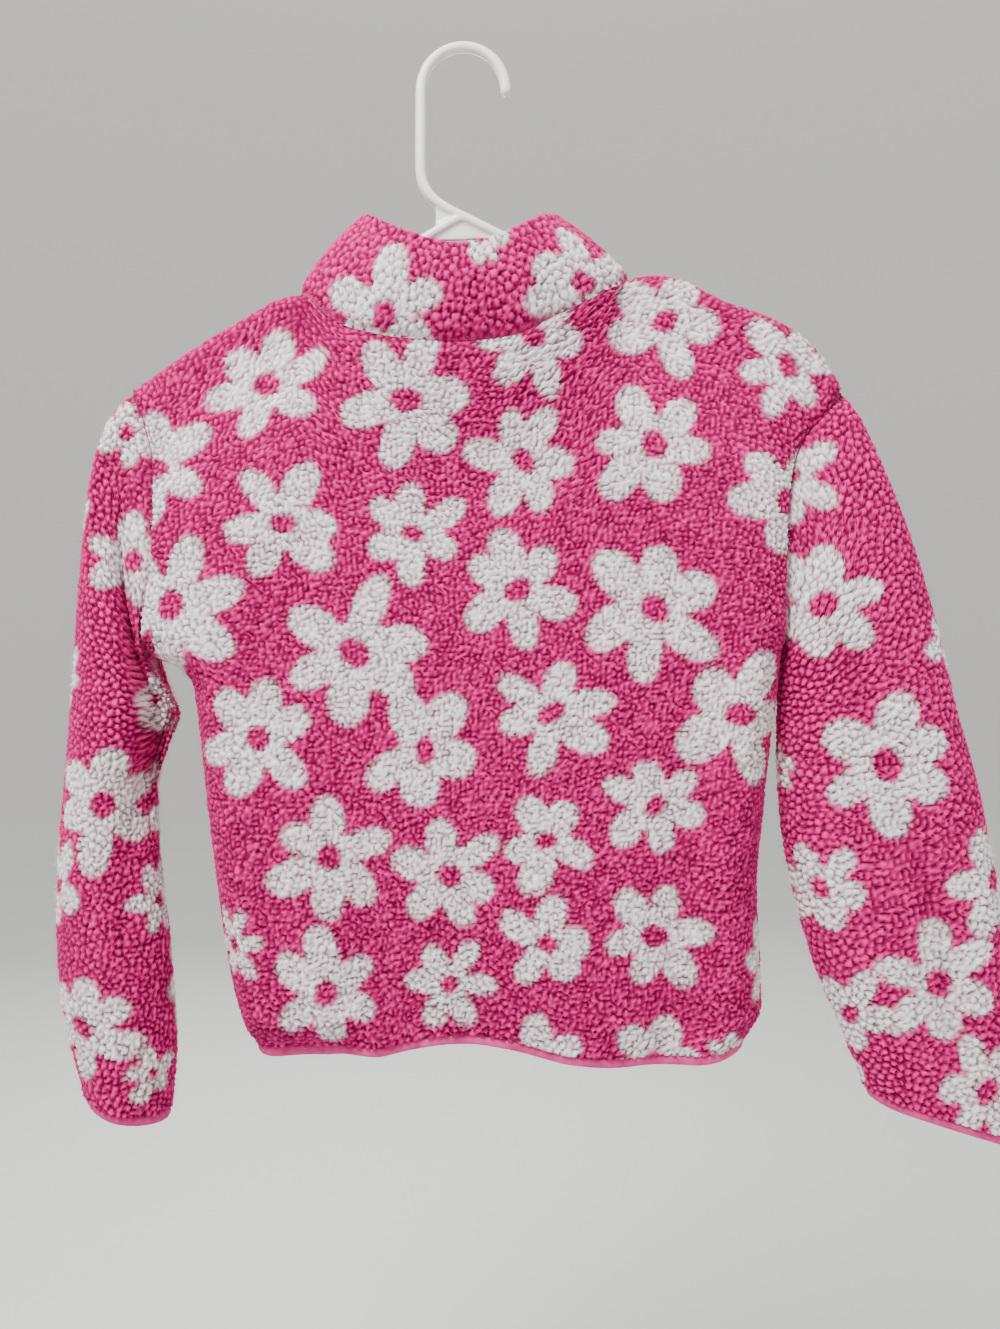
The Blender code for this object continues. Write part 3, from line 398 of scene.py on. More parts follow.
def flower_white(points, prints, surface, normals):
    """How white the print is at each point: 1 on a petal, 0 on the ground and a flower's middle.

    prints pairs the side that the flowers face, +1 for the back and -1 for the front, with the
    flowers: (x, z, radius, petals, turn of the first, seed), where that side shows them.
    """
    white = np.zeros(len(points))
    flat, flat_normals = surface.reshape(-1, 3), normals.reshape(-1, 3)
    every = [(side, flower) for side, flowers in prints for flower in flowers]
    for side, (x, z, radius, petals, turn, seed) in every:
        rng = np.random.default_rng(seed)
        off = (flat[:, 0] - x) ** 2 + (flat[:, 2] - z) ** 2
        other_side = (side * flat_normals[:, 1] < FACING) | (side * flat[:, 1] < WRAP)
        spot = np.argmin(off + 1e6 * other_side)
        depth, normal = flat[spot, 1], flat_normals[spot]
        away = points - np.array([x, depth, z])
        near = np.einsum("ij,ij->i", away, away) < (PRINT_WITHIN * radius) ** 2
        near &= flat_normals @ normal > PRINT_WRAPS
        d = away[near]
        right = np.cross([0, 0, 1.0], normal)
        right /= np.linalg.norm(right)
        up = np.cross(normal, right)
        a, b, n = d @ right, d @ up, d @ normal
        flatten = np.sqrt(a * a + b * b)
        a, b = [c * np.sqrt(a * a + b * b + n * n) / np.maximum(flatten, 0.1) for c in (a, b)]
        best = np.full(len(d), -9.0)
        step = 2 * math.pi / petals
        for k in range(petals):
            angle = math.radians(turn) + step * (k + rng.uniform(-PETAL_TURN, PETAL_TURN))
            reach = radius * rng.uniform(*PETAL_REACH)
            along_petal = a * math.cos(angle) + b * math.sin(angle)
            over_petal = b * math.cos(angle) - a * math.sin(angle)
            half_long = PETAL_LONG * reach
            half_wide = radius * rng.uniform(*PETAL_WIDE) * PETAL_ROOM * math.sin(step / 2)
            skew = rng.uniform(-PETAL_SKEW, PETAL_SKEW)
            over_petal = over_petal - skew * (along_petal - SKEW_FROM * reach)
            wide = half_wide * (PETAL_FOOT + PETAL_FLARE * np.clip(along_petal, 0, None) / reach)
            s = np.sqrt(((along_petal - reach + half_long) / half_long) ** 2
                        + (over_petal / wide) ** 2)
            best = np.maximum(best, (1 - s) * half_wide)
        heart = np.sqrt(a * a + b * b) - HEART * radius
        best = np.maximum(best, -heart * HEART_FALL)
        wide, tall = radius * rng.uniform(*EYE_WIDE), radius * rng.uniform(*EYE_TALL)
        lean = rng.uniform(0, math.pi)
        ea = a * math.cos(lean) + b * math.sin(lean)
        eb = b * math.cos(lean) - a * math.sin(lean)
        eye = (np.sqrt((ea / wide) ** 2 + (eb / tall) ** 2) - 1) * wide
        best = np.minimum(best, eye)
        white[near] = np.maximum(white[near], ease(best / PRINT_EDGE + 0.5))
    return white


def pile_mesh(name, outer, inner, skirt, prints, seed, ring, seams, fibres, clump):
    """The fleece's pile on a grid of points, turned in at its edges to meet the backing.

    seams gives the grid's edges that are sewn: "first_row", "last_row", "first_column" or
    "last_column". skirt is the same grid further in, for the edges. ring says that the grid
    closes into a tube, fibres how many loose fibres it has, and clump how far apart clumps are.
    """
    rng = np.random.default_rng(PILE_SEED + seed)
    rows, columns = outer.shape[:2]
    normals = grid_normals(outer, inner, ring)
    flat = outer.reshape(-1, 3)
    strayed = flat + rng.normal(0, CLUMP_STRAY, flat.shape)
    middles = flat[spaced_points(strayed, clump, rng)]
    rise = rng.uniform(*RISE_SPREAD, len(middles))
    tone = rng.uniform(-1, 1, len(middles))
    tree = kdtree.KDTree(len(middles))
    for n, point in enumerate(middles):
        tree.insert(point, n)
    tree.balance()
    bent = flat + CREVICE_BEND * wander(flat, BEND_SIZE, 0.4)
    first, gap, reach = np.zeros(len(flat), int), np.zeros(len(flat)), np.zeros(len(flat))
    for n, point in enumerate(bent):
        (_, one, near), (_, _, far) = tree.find_n(point, 2)
        first[n], gap[n], reach[n] = one, far - near, near
    parted = np.clip(gap / CREVICE_WIDTH, 0, 1)
    mound = np.sqrt(parted) * (1 - CLUMP_DOME * np.clip(reach / clump, 0, 1) ** 2)
    height = -CREVICE + (CREVICE + CLUMP_RISE * rise[first]) * mound
    height += NAP * waviness(flat, NAP_SIZE, 2.2)

    down = np.zeros((rows, columns))
    steps_over = np.linalg.norm(np.diff(outer, axis=1), axis=-1)
    steps_down = np.linalg.norm(np.diff(outer, axis=0), axis=-1)
    from_left = np.concatenate([np.zeros((rows, 1)), np.cumsum(steps_over, 1)], 1)
    from_top = np.concatenate([np.zeros((1, columns)), np.cumsum(steps_down, 0)], 0)
    distance = {
        "first_column": from_left, "last_column": from_left[:, -1:] - from_left,
        "first_row": from_top, "last_row": from_top[-1:] - from_top,
    }
    for seam in seams:
        down = np.maximum(down, np.exp(-((distance[seam] / PINCH_WIDTH) ** 2)))
    height = height.reshape(rows, columns) * (1 - PINCH_FLAT * down) - SEAM_PINCH * down
    raised = outer + normals * height[..., None]

    print_at = (1 - PRINT_BLEED) * flat + PRINT_BLEED * middles[first]
    print_at = print_at + PRINT_WAVER * wander(flat, WAVER_SIZE, 5.0)
    white = flower_white(print_at, prints, outer, normals)
    # Painted shade: the tone darkens into the crevices between clumps, at the seams and deep in
    # folds.
    shade = np.clip(gap / CREVICE_SHADE_WIDTH, 0, 1) * (1 - PINCH_PAINTED_SHADE * down.ravel())
    shade *= 1 - FOLD_PAINTED_SHADE * hollows(outer, normals, ring).ravel()
    fields = {"printed": white, "painted_pile_shade": shade, "clump": tone[first]}

    # Turned-in edges, so that the pile closes on its backing.
    points, faces = [raised.reshape(-1, 3)], [strip_faces(rows, columns, ring)]
    total = rows * columns
    index = np.arange(total).reshape(rows, columns)
    borders = [(index[0], skirt[0], 1), (index[-1], skirt[-1], -1)]
    if not ring:
        borders += [(index[:, 0], skirt[:, 0], -1), (index[:, -1], skirt[:, -1], 1)]
    source = [np.arange(total)]
    for line, edge, way in borders:
        low = np.arange(len(line)) + total
        a, b = (np.append(line, line[0]), np.append(low, low[0])) if ring else (line, low)
        faces.append(np.stack([a[:-1], b[:-1], b[1:], a[1:]], -1)[:, ::way])
        points.append(edge)
        source.append(line)
        total += len(line)
    source, points, faces = [np.concatenate(part) for part in (source, points, faces)]
    order = np.cross(outer[0, 1] - outer[0, 0], outer[1, 0] - outer[0, 0])
    if np.dot(order, normals[0, 0]) < 0:
        faces = faces[:, ::-1]
    fields = {key: value[source] for key, value in fields.items()}

    # Loose fibres, each a tapered blade of two lengths that leans and then bends its own way.
    roots = rng.integers(0, len(flat), fibres)
    lean, bend = rng.normal(0, 1, (2, fibres, 3))
    base_normals = normals.reshape(-1, 3)[roots]
    way = base_normals + FIBRE_LEAN * lean / np.linalg.norm(lean, axis=1, keepdims=True)
    way /= np.linalg.norm(way, axis=1, keepdims=True)
    turned = way + FIBRE_BEND * bend / np.linalg.norm(bend, axis=1, keepdims=True)
    foot = raised.reshape(-1, 3)[roots] - FIBRE_ROOT * base_normals
    side = np.cross(way, rng.normal(0, 1, (fibres, 3)))
    side *= 0.5 * FIBRE_WIDTH / np.linalg.norm(side, axis=1, keepdims=True)
    long = FIBRE_LENGTH * rng.uniform(*FIBRE_SPREAD, (fibres, 1))
    long = 0.5 * long * (1 - PINCH_FIBRE * down.ravel()[roots][:, None])
    knee = foot + way * long
    blades = np.stack([foot - side, foot + side, knee + 0.6 * side, knee - 0.2 * side,
                       knee + turned * long], 1)
    start = len(points)
    points = np.concatenate([points, blades.reshape(-1, 3)])
    triangles = (5 * np.arange(fibres)[:, None, None] + [[0, 1, 2], [3, 2, 4]]).reshape(-1, 3)
    for key in fields:
        value = fields[key][roots] if key != "painted_pile_shade" else np.full(fibres, FIBRE_TONE)
        fields[key] = np.concatenate([fields[key], np.repeat(value, 5)])
    return add_mesh(name, points, [faces, triangles + start], sherpa_pile, fields)


def srgb(code):
    """A linear colour from an sRGB hex value."""
    parts = [int(code[k:k + 2], 16) / 255 for k in (1, 3, 5)]
    return tuple(c / 12.92 if c < 0.04045 else ((c + 0.055) / 1.055) ** 2.4 for c in parts) + (1,)


def new_material(name, roughness, colour="#ffffff", **sockets):
    """A material and its shader; sockets gives the shader's other values, _ for a space."""
    material = bpy.data.materials.new(name)
    material.use_nodes = True
    shader = material.node_tree.nodes["Principled BSDF"]
    shader.inputs["Base Color"].default_value = srgb(colour)
    shader.inputs["Roughness"].default_value = roughness
    for socket, value in sockets.items():
        shader.inputs[socket.replace("_", " ")].default_value = value
    return material, shader


def add_node(material, kind, settings=None, links=None, tones=()):
    """A node with its properties and socket values, and links from other nodes' outputs.

    tones gives a colour ramp's places and hex values, its two ends first.
    """
    node = material.node_tree.nodes.new(kind)
    for key, value in (settings or {}).items():
        if isinstance(key, str) and hasattr(node, key):
            setattr(node, key, value)
        else:
            node.inputs[key].default_value = value
    for socket, source in (links or {}).items():
        material.node_tree.links.new(source, node.inputs[socket])
    for n, (at, code) in enumerate(tones):
        element = node.color_ramp.elements[n] if n < 2 else node.color_ramp.elements.new(at)
        element.position, element.color = at, srgb(code)
    return node


# Printed polyester sherpa, brushed and tumbled. Dull, with a soft bright rim where the fibre
# ends catch the light. Painted light and shade: lighter clump tops, deep magenta shade where they
# part.
sherpa_pile, shader = new_material(
    "printed_polyester_sherpa", 0.92,
    Specular_IOR_Level=0.08, Sheen_Weight=0.04, Sheen_Roughness=0.5,
    Sheen_Tint=srgb("#ffd6e6"))
printed = add_node(sherpa_pile, "ShaderNodeAttribute", {"attribute_name": "printed"})
painted_pile_shade = add_node(sherpa_pile, "ShaderNodeAttribute", {"attribute_name": "painted_pile_shade"})
clump = add_node(sherpa_pile, "ShaderNodeAttribute", {"attribute_name": "clump"})
place = add_node(sherpa_pile, "ShaderNodeTexCoord")
curls = add_node(  # single curled yarns, about 0.8 mm thick
    sherpa_pile, "ShaderNodeTexNoise", {"Scale": 620.0, "Detail": 3.0, "Roughness": 0.6},
    {"Vector": place.outputs["Object"]})
# Painted shade: each ramp runs from the shaded crevice colour up to the lit clump top.
pink_painted_shading = add_node(
    sherpa_pile, "ShaderNodeValToRGB", None, {"Fac": painted_pile_shade.outputs["Fac"]},
    ((0, "#5c0a32"), (1, "#f23a93"), (0.3, "#920c4a"), (0.6, "#c41c6e")))
white_painted_shading = add_node(
    sherpa_pile, "ShaderNodeValToRGB", None, {"Fac": painted_pile_shade.outputs["Fac"]},
    ((0, "#84646f"), (1, "#fff9fb"), (0.3, "#c9b3bb"), (0.6, "#f0e4e8")))
ground = add_node(
    sherpa_pile, "ShaderNodeMix", {"data_type": "RGBA"},
    {0: printed.outputs["Fac"], 6: pink_painted_shading.outputs["Color"], 7: white_painted_shading.outputs["Color"]})
vary = add_node(
    sherpa_pile, "ShaderNodeMath", {"operation": "MULTIPLY_ADD", 1: 0.07, 2: 0.93},
    {0: clump.outputs["Fac"]})
# Painted light and shade on the curls: the colour lightens where their bump stands high and
# darkens where it dips.
curl_light = add_node(
    sherpa_pile, "ShaderNodeMapRange", {"From Min": 0.3, "From Max": 0.7, "To Min": 0.86,
                                        "To Max": 1.08}, {"Value": curls.outputs["Fac"]})
lit = add_node(
    sherpa_pile, "ShaderNodeMath", {"operation": "MULTIPLY"},
    {0: vary.outputs[0], 1: curl_light.outputs[0]})
coloured = add_node(
    sherpa_pile, "ShaderNodeVectorMath", {"operation": "SCALE"},
    {0: ground.outputs[2], "Scale": lit.outputs[0]})
bump = add_node(
    sherpa_pile, "ShaderNodeBump", {"Strength": 0.55, "Distance": 0.0007},
    {"Height": curls.outputs["Fac"]})
sherpa_pile.node_tree.links.new(coloured.outputs[0], shader.inputs["Base Color"])
sherpa_pile.node_tree.links.new(bump.outputs[0], shader.inputs["Normal"])

# The fleece's back: a circular weft knit in the ground's pink, matt, with columns of stitches
# 1.1 mm apart (drawn twice as coarse as the real ones, so that they show).
knit_back, shader = new_material(
    "weft_knit_backing", 0.85, Specular_IOR_Level=0.25, Sheen_Weight=0.15)
place = add_node(knit_back, "ShaderNodeTexCoord")
wales = add_node(
    knit_back, "ShaderNodeTexWave",
    {"wave_type": "BANDS", "bands_direction": "X", "Scale": 145.0, "Distortion": 1.2,
     "Detail": 1.0, "Detail Scale": 3.0}, {"Vector": place.outputs["Object"]})
courses = add_node(
    knit_back, "ShaderNodeTexWave",
    {"wave_type": "BANDS", "bands_direction": "Z", "Scale": 190.0, "Distortion": 0.8},
    {"Vector": place.outputs["Object"]})
loops = add_node(
    knit_back, "ShaderNodeMath", {"operation": "MULTIPLY"},
    {0: wales.outputs["Fac"], 1: courses.outputs["Fac"]})
knit_tone = add_node(
    knit_back, "ShaderNodeValToRGB", None, {"Fac": loops.outputs[0]},
    ((0, "#9a2a60"), (1, "#cc568e")))
bump = add_node(
    knit_back, "ShaderNodeBump", {"Strength": 0.5, "Distance": 0.0004},
    {"Height": loops.outputs[0]})
knit_back.node_tree.links.new(knit_tone.outputs["Color"], shader.inputs["Base Color"])
knit_back.node_tree.links.new(bump.outputs[0], shader.inputs["Normal"])

PILE_STEP = 1.635  # between the pile mesh's points
BACKING_STEP = 7.0
BACKING_TOP = 0.62  # where the backing starts, as a share of the wall
SKIRT = 0.75  # how deep the pile's edges turn in, as a share of the wall

# Printed daisies: x, z, radius, petals, turn of one petal, seed for their uneven shapes.
BACK_FLOWERS = (
    (130, -231, 41, 6, 20, 1), (36, -245, 44, 6, 12, 2), (-46, -204, 37, 6, 0, 3),
    (-134, -188, 38, 5, 350, 4), (-40, -284, 36, 6, 60, 5), (-125, -273, 43, 6, 50, 6),
    (117, -325, 40, 6, 65, 7), (32, -331, 35, 6, 30, 8), (-36, -368, 38, 6, 40, 9),
    (-125, -380, 47, 6, 20, 10), (70, -409, 49, 6, 20, 11), (-58, -448, 38, 6, 20, 12),
    (24, -472, 39, 5, 55, 13), (132, -464, 39, 6, 15, 14), (-180, -449, 43, 5, 65, 15),
    (-125, -508, 35, 6, 40, 16), (-54, -530, 33, 5, 50, 17), (86, -541, 40, 6, 25, 18),
    (8, -553, 36, 6, 45, 19), (-125, -592, 39, 6, 10, 20), (-55, -596, 31, 5, 80, 21),
    (87, -628, 39, 6, 35, 22), (8, -624, 30, 6, 0, 23), (-51, -672, 30, 5, 30, 24),
    (-125, -675, 36, 6, 15, 25), (-197, -612, 30, 6, 50, 26), (148, -598, 23, 6, 5, 27),
    (204, -286, 41, 6, 38, 28), (-214, -309, 43, 5, 190, 29), (190, -378, 50, 6, 75, 30),
    (-217, -217, 35, 6, 65, 32), (-172, -668, 16, 5, 20, 33),
)


def body_layers(side, edge_share, step):
    """Grids of one body cloth, at any depth from the pile's top to the backing's inside.

    edge_share takes rows v and a depth, and gives the columns u where the cloth starts and ends.
    """
    def row_at(v):
        start, end = edge_share(v, 0)
        return lambda t: body_point(start + (end - start) * t, v, side, 0)

    def column_at_share(t):
        start, end = edge_share(0.5, 0)
        return lambda v: body_point(start + (end - start) * t, v, side, 0)

    # Equal steps along one row, and up the cloth by the mean of two columns.
    over = even_steps(row_at(0.3), step)
    up, other = [0.5 * even_steps(column_at_share(t), step) for t in (0.25, 0.75)]
    up = up + np.interp(np.linspace(0, 1, len(up)), np.linspace(0, 1, len(other)), other)

    def layer(inner):
        rows = []
        for v in up:
            start, end = edge_share(v, inner)
            rows.append(body_point(start + (end - start) * over, v, side, inner))
        return np.array(rows)
    return layer


def whole_width(v, inner):
    return 0.0, 1.0


def sherpa(name, layer, coarse, prints, seed, seams, fibres, ring=False,
           clump=CLUMP):
    """One sherpa piece: the knit backing and the pile on it.

    layer and coarse give the pile's and the backing's grids at a depth from 0 to 1.
    """
    backing = cloth_wall(name + "_cloth", coarse(BACKING_TOP), coarse(1.0), knit_back, ring)
    pile = pile_mesh(name + "_pile", layer(0.0), layer(1.0), layer(SKIRT), prints, seed,
                     ring, seams, fibres, clump)
    for piece in (backing, pile):
        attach(piece, "jacket")
    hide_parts(name)
    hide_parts(name)


BODY_SEAMS = ("last_row", "first_column", "last_column")
sherpa("back_panel", body_layers(1, whole_width, PILE_STEP),
       body_layers(1, whole_width, BACKING_STEP), ((1, BACK_FLOWERS),), 1,
       seams=BODY_SEAMS, fibres=17000)


# ---------------------------------------------------------------- fronts
# Two sherpa fronts, cut from the same printed cloth and sewn to the back at the shoulders and
# the side seams. Their centre edges are turned in once over the zip's tapes and topstitched.
ZIP_GAP = 7.0  # from the zip's middle to each front's turned edge
ZIP_TOP_X, ZIP_FOOT_X = 2.0, -12.0

FRONT_LEFT_FLOWERS = (
    (128, -250, 41, 6, 15, 41), (52, -268, 36, 6, 40, 42), (170, -318, 34, 5, 10, 43),
    (104, -340, 40, 6, 50, 44), (30, -352, 35, 5, 25, 45), (160, -404, 38, 6, 5, 46),
    (84, -430, 42, 6, 30, 47), (16, -452, 33, 6, 0, 48), (140, -492, 37, 6, 20, 49),
    (62, -520, 36, 5, 60, 50), (126, -572, 39, 6, 45, 51), (24, -560, 32, 6, 10, 52),
    (70, -606, 38, 6, 35, 53), (8, -640, 33, 5, 15, 54), (122, -648, 34, 6, 55, 55),
    (196, -250, 31, 6, 20, 56), (118, -188, 31, 5, 30, 57),
)
FRONT_RIGHT_FLOWERS = (
    (-134, -236, 43, 6, 10, 61), (-62, -276, 38, 6, 35, 62), (-190, -290, 36, 6, 60, 63),
    (-118, -326, 37, 5, 20, 64), (-38, -350, 37, 6, 50, 65), (-182, -372, 40, 6, 5, 66),
    (-104, -404, 42, 6, 25, 67), (-36, -430, 33, 6, 40, 68), (-170, -452, 36, 5, 15, 69),
    (-92, -484, 36, 6, 55, 70), (-150, -528, 40, 6, 30, 71), (-46, -516, 35, 6, 0, 72),
    (-92, -570, 38, 5, 45, 73), (-168, -600, 36, 6, 10, 74), (-40, -598, 33, 6, 20, 75),
    (-110, -644, 36, 6, 35, 76), (-222, -224, 33, 6, 0, 77), (-180, -650, 30, 5, 50, 78),
    (-128, -174, 32, 6, 25, 79),
)


def zip_x(v):
    """Centre front: the line that the zip follows."""
    return ZIP_FOOT_X + (ZIP_TOP_X - ZIP_FOOT_X) * v


def column_at(x, v, inner):
    """The column u of a body cloth that lies at x."""
    left, right = body_edges(v, inner)
    return (left - x) / (left - right)


def left_front(v, inner):
    return 0.0, column_at(zip_x(v) + ZIP_GAP, v, inner)


def right_front(v, inner):
    return column_at(zip_x(v) - ZIP_GAP, v, inner), 1.0


sherpa("front_left", body_layers(-1, left_front, PILE_STEP),
       body_layers(-1, left_front, BACKING_STEP), ((-1, FRONT_LEFT_FLOWERS),), 2,
       seams=BODY_SEAMS, fibres=13000)
sherpa("front_right", body_layers(-1, right_front, PILE_STEP),
       body_layers(-1, right_front, BACKING_STEP), ((-1, FRONT_RIGHT_FLOWERS),), 3,
       seams=BODY_SEAMS, fibres=13000)


# ---------------------------------------------------------------- sleeves
# One-piece sleeves of the same fleece, each sewn into a tube along the arm's underside and set
# into the dropped armhole. They hang with one long soft fold down the back.
SLEEVE_COLUMNS = (
    "outer_x", "outer_z", "inner_x", "inner_z", "deep", "middle", "at", "groove", "recess",
)
SLEEVE_LEFT = (
    (231.0, -240.0, 214.5, -413.0, 16.0, 0.0, 0.42, 1.0, 0.0),
    (240.0, -254.0, 214.0, -417.0, 18.5, 0.0, 0.44, 3.0, 3.0),
    (248.0, -279.0, 212.0, -422.0, 22.0, 0.0, 0.50, 6.0, 8.0),
    (254.0, -318.0, 208.0, -429.0, 26.0, -1.0, 0.58, 7.0, 14.0),
    (259.5, -365.0, 203.0, -438.0, 30.0, -2.0, 0.64, 8.0, 18.0),
    (264.0, -420.0, 197.0, -451.0, 33.0, -3.0, 0.69, 8.0, 20.0),
    (268.0, -466.0, 203.0, -468.0, 35.0, -4.0, 0.78, 7.0, 15.0),
    (271.5, -505.0, 211.5, -504.0, 36.0, -5.0, 0.84, 4.0, 6.0),
    (275.0, -547.0, 210.0, -547.0, 36.0, -5.0, 0.82, 2.5, 0.0),
    (276.0, -592.0, 204.5, -594.0, 36.0, -5.0, 0.75, 2.0, 0.0),
    (273.5, -632.0, 200.0, -638.0, 35.0, -4.0, 0.60, 2.0, 0.0),
    (267.5, -666.0, 198.0, -676.0, 33.0, -4.0, 0.50, 1.5, 0.0),
    (257.5, -703.0, 200.5, -719.0, 30.0, -3.0, 0.50, 0.0, 0.0),
)
SLEEVE_RIGHT = (
    (-262.0, -241.0, -215.5, -413.0, 16.0, 0.0, 0.50, 0.0, 0.0),
    (-269.5, -253.5, -215.5, -417.0, 18.5, 0.0, 0.50, 0.0, 0.0),
    (-280.0, -277.0, -215.0, -421.0, 21.0, 0.5, 0.60, 1.0, 0.0),
    (-294.0, -311.0, -214.5, -427.0, 23.0, 1.0, 0.62, 2.0, 0.0),
    (-308.0, -352.0, -214.0, -436.0, 25.0, 1.0, 0.62, 3.0, 0.0),
    (-320.0, -396.0, -213.5, -449.0, 26.0, 1.5, 0.60, 3.0, 0.0),
    (-332.0, -448.0, -213.0, -474.0, 27.0, 2.0, 0.55, 2.0, 0.0),
    (-345.0, -494.0, -214.0, -505.0, 27.0, 2.0, 0.50, 1.5, 0.0),
    (-354.0, -538.0, -218.0, -541.0, 27.0, 2.0, 0.45, 2.0, 0.0),
    (-362.5, -581.0, -226.0, -578.0, 26.0, 2.0, 0.40, 3.0, 0.0),
    (-368.0, -630.0, -239.0, -622.0, 25.0, 2.0, 0.40, 3.5, 0.0),
    (-371.0, -680.0, -256.0, -662.0, 23.0, 1.5, 0.42, 2.0, 0.0),
    (-374.0, -734.0, -272.0, -702.0, 21.0, 1.0, 0.50, 0.0, 0.0),
)
SLEEVE_HALF_ROUND = 175.0
SEAM_BLEND = 5.0  # rows of the table over which the armhole's shape runs out
GROOVE_WIDTH = 0.09
RECESS_WIDTH = 0.10
CRACK_AFTER, CRACK_FULL = 0.08, 10.0  # a deep fold is sharpest just past its ridge
DENT_FADE = 8.0  # folds fade out where the sleeve is thinner than this
SLEEVE_CROWN = 0.12  # how much deeper a sleeve is in its middle than at its edges
SLEEVE_STEP = 1.8  # between the pile mesh's points round a sleeve
SLEEVE_LEFT_BACK = (
    (234, -508, 42, 6, 80, 81), (270, -563, 32, 5, 45, 82), (249, -653, 39, 6, 85, 83),
    (206, -576, 25, 6, 60, 84), (206, -688, 19, 5, 30, 85), (220, -348, 31, 6, 35, 86),
    (224, -262, 25, 6, 35, 87), (254, -314, 16, 5, 15, 88), (264, -424, 24, 6, 50, 89),
    (211, -440, 23, 5, 70, 90),
)
SLEEVE_LEFT_FRONT = (
    (234, -300, 36, 6, 10, 91), (228, -376, 38, 6, 45, 92), (244, -448, 36, 5, 20, 93),
    (222, -520, 40, 6, 0, 94), (250, -594, 38, 6, 30, 95), (210, -640, 34, 6, 55, 96),
    (244, -680, 33, 5, 15, 97),
)
SLEEVE_RIGHT_BACK = (
    (-238, -377, 42, 6, 80, 101), (-277, -482, 49, 6, 85, 102), (-235, -563, 35, 6, 50, 103),
    (-312, -626, 42, 6, 40, 104), (-256, -648, 31, 5, 60, 105), (-351, -558, 42, 6, 0, 106),
    (-345, -697, 37, 6, 0, 107), (-217, -291, 36, 6, 30, 108), (-320, -402, 22, 5, 50, 109),
    (-213, -487, 15, 5, 20, 110),
)
SLEEVE_RIGHT_FRONT = (
    (-250, -300, 37, 6, 20, 111), (-262, -386, 41, 6, 50, 112), (-306, -452, 38, 5, 10, 113),
    (-244, -494, 38, 6, 35, 114), (-320, -540, 41, 6, 0, 115), (-262, -590, 39, 6, 25, 116),
    (-330, -630, 36, 5, 45, 117), (-286, -676, 38, 6, 15, 118), (-348, -706, 32, 6, 30, 119),
)


def half_ring(count, armhole_edge):
    """Shares of a half ring from its outer to its inner fold: by the armhole's own points at the
    seam, evenly round by the angle further down."""
    v = np.linspace(1.0, UNDERARM_V, count)
    edge = body_point(armhole_edge, v, 1, 0)
    length = np.concatenate([[0], np.cumsum(np.linalg.norm(np.diff(edge, axis=0), axis=1))])
    sewn = length / length[-1]
    even = 0.5 - 0.5 * np.cos(math.pi * np.arange(count) / (count - 1))
    return v, sewn, even


def sleeve_layers(table, which, step_round, step_down):
    """Grids of one sleeve: rings from the armhole to the cuff, each from the outer fold down the
    back, round the inner fold and up the front."""
    at_edge = 0.0 if which > 0 else 1.0
    half = int(round(SLEEVE_HALF_ROUND / step_round)) + 1
    v, sewn, even = half_ring(half, at_edge)
    last = len(table) - 1
    index = np.arange(len(table), dtype=float)
    values = {name: column(table, k) for k, name in enumerate(SLEEVE_COLUMNS)}

    def line(shares):
        at = shares * last
        return np.stack([along(index, values[k], at) for k in ("outer_x", "outer_z")], -1)

    stations = even_steps(line, step_down) * last

    def ring(station, inner):
        row = {name: along(index, values[name], np.array([station]))[0] for name in values}
        share = sewn + (even - sewn) * min(1.0, (station + 1) / SEAM_BLEND)
        outer = np.array([row["outer_x"], row["outer_z"]])
        inside = np.array([row["inner_x"], row["inner_z"]])
        middle, reach = (outer + inside) / 2, outer - inside
        width = np.linalg.norm(reach) / 2
        reach = reach / (2 * width)
        inset = WALL * inner
        over = (width - inset) * (1 - 2 * share)
        from_end = 2 * (width - inset) * np.minimum(share, 1 - share)
        deep = (row["deep"] - inset) * quarter(from_end / (row["deep"] - 0.6 * inset))
        deep = deep * (1 - SLEEVE_CROWN + SLEEVE_CROWN * np.sin(math.pi * share))
        crack = row["at"] + CRACK_AFTER * min(1.0, row["recess"] / CRACK_FULL)
        dent = row["groove"] * np.exp(-(((share - crack) / GROOVE_WIDTH) ** 2))
        dent = dent + row["recess"] * ease((share - row["at"]) / RECESS_WIDTH)
        dent = dent * np.clip(deep / DENT_FADE, 0, 1)
        back = row["middle"] + deep - dent
        front = (row["middle"] - deep)[::-1][1:-1]
        y = np.concatenate([back, front])
        over = np.concatenate([over, over[::-1][1:-1]])
        return np.stack([middle[0] + over * reach[0], y, middle[1] + over * reach[1]], -1)

    def armhole(inner):
        back = body_point(at_edge, v, 1, inner)
        loop = np.concatenate([back, body_point(at_edge, v, -1, inner)[::-1][1:-1]])
        loop[[0, half - 1], 1] = 0.0
        loop[:, 0] += which * SEAM_GAP
        return loop

    reach = np.linalg.norm(ring(0.0, 0) - armhole(0), axis=1).max()
    steps = max(1, int(round(reach / step_down)))

    def layer(inner):
        loop, first = armhole(inner), ring(0.0, inner)
        between = [loop + (first - loop) * t for t in np.arange(steps) / steps]
        return np.array(between + [ring(s, inner) for s in stations])
    return layer


for name, table, which, prints, seed, flat, spacing in (
        ("sleeve_left", SLEEVE_LEFT, 1,
         ((1, SLEEVE_LEFT_BACK), (-1, SLEEVE_LEFT_FRONT)), 4, (0.24, 0.42), 3.6),
        ("sleeve_right", SLEEVE_RIGHT, -1,
         ((1, SLEEVE_RIGHT_BACK), (-1, SLEEVE_RIGHT_FRONT)), 5, (0.26, 0.50), 4.0)):
    sherpa(name, sleeve_layers(table, which, SLEEVE_STEP, PILE_STEP),
           sleeve_layers(table, which, BACKING_STEP, BACKING_STEP), prints, seed,
           seams=("first_row",), fibres=18500, ring=True, clump=spacing)


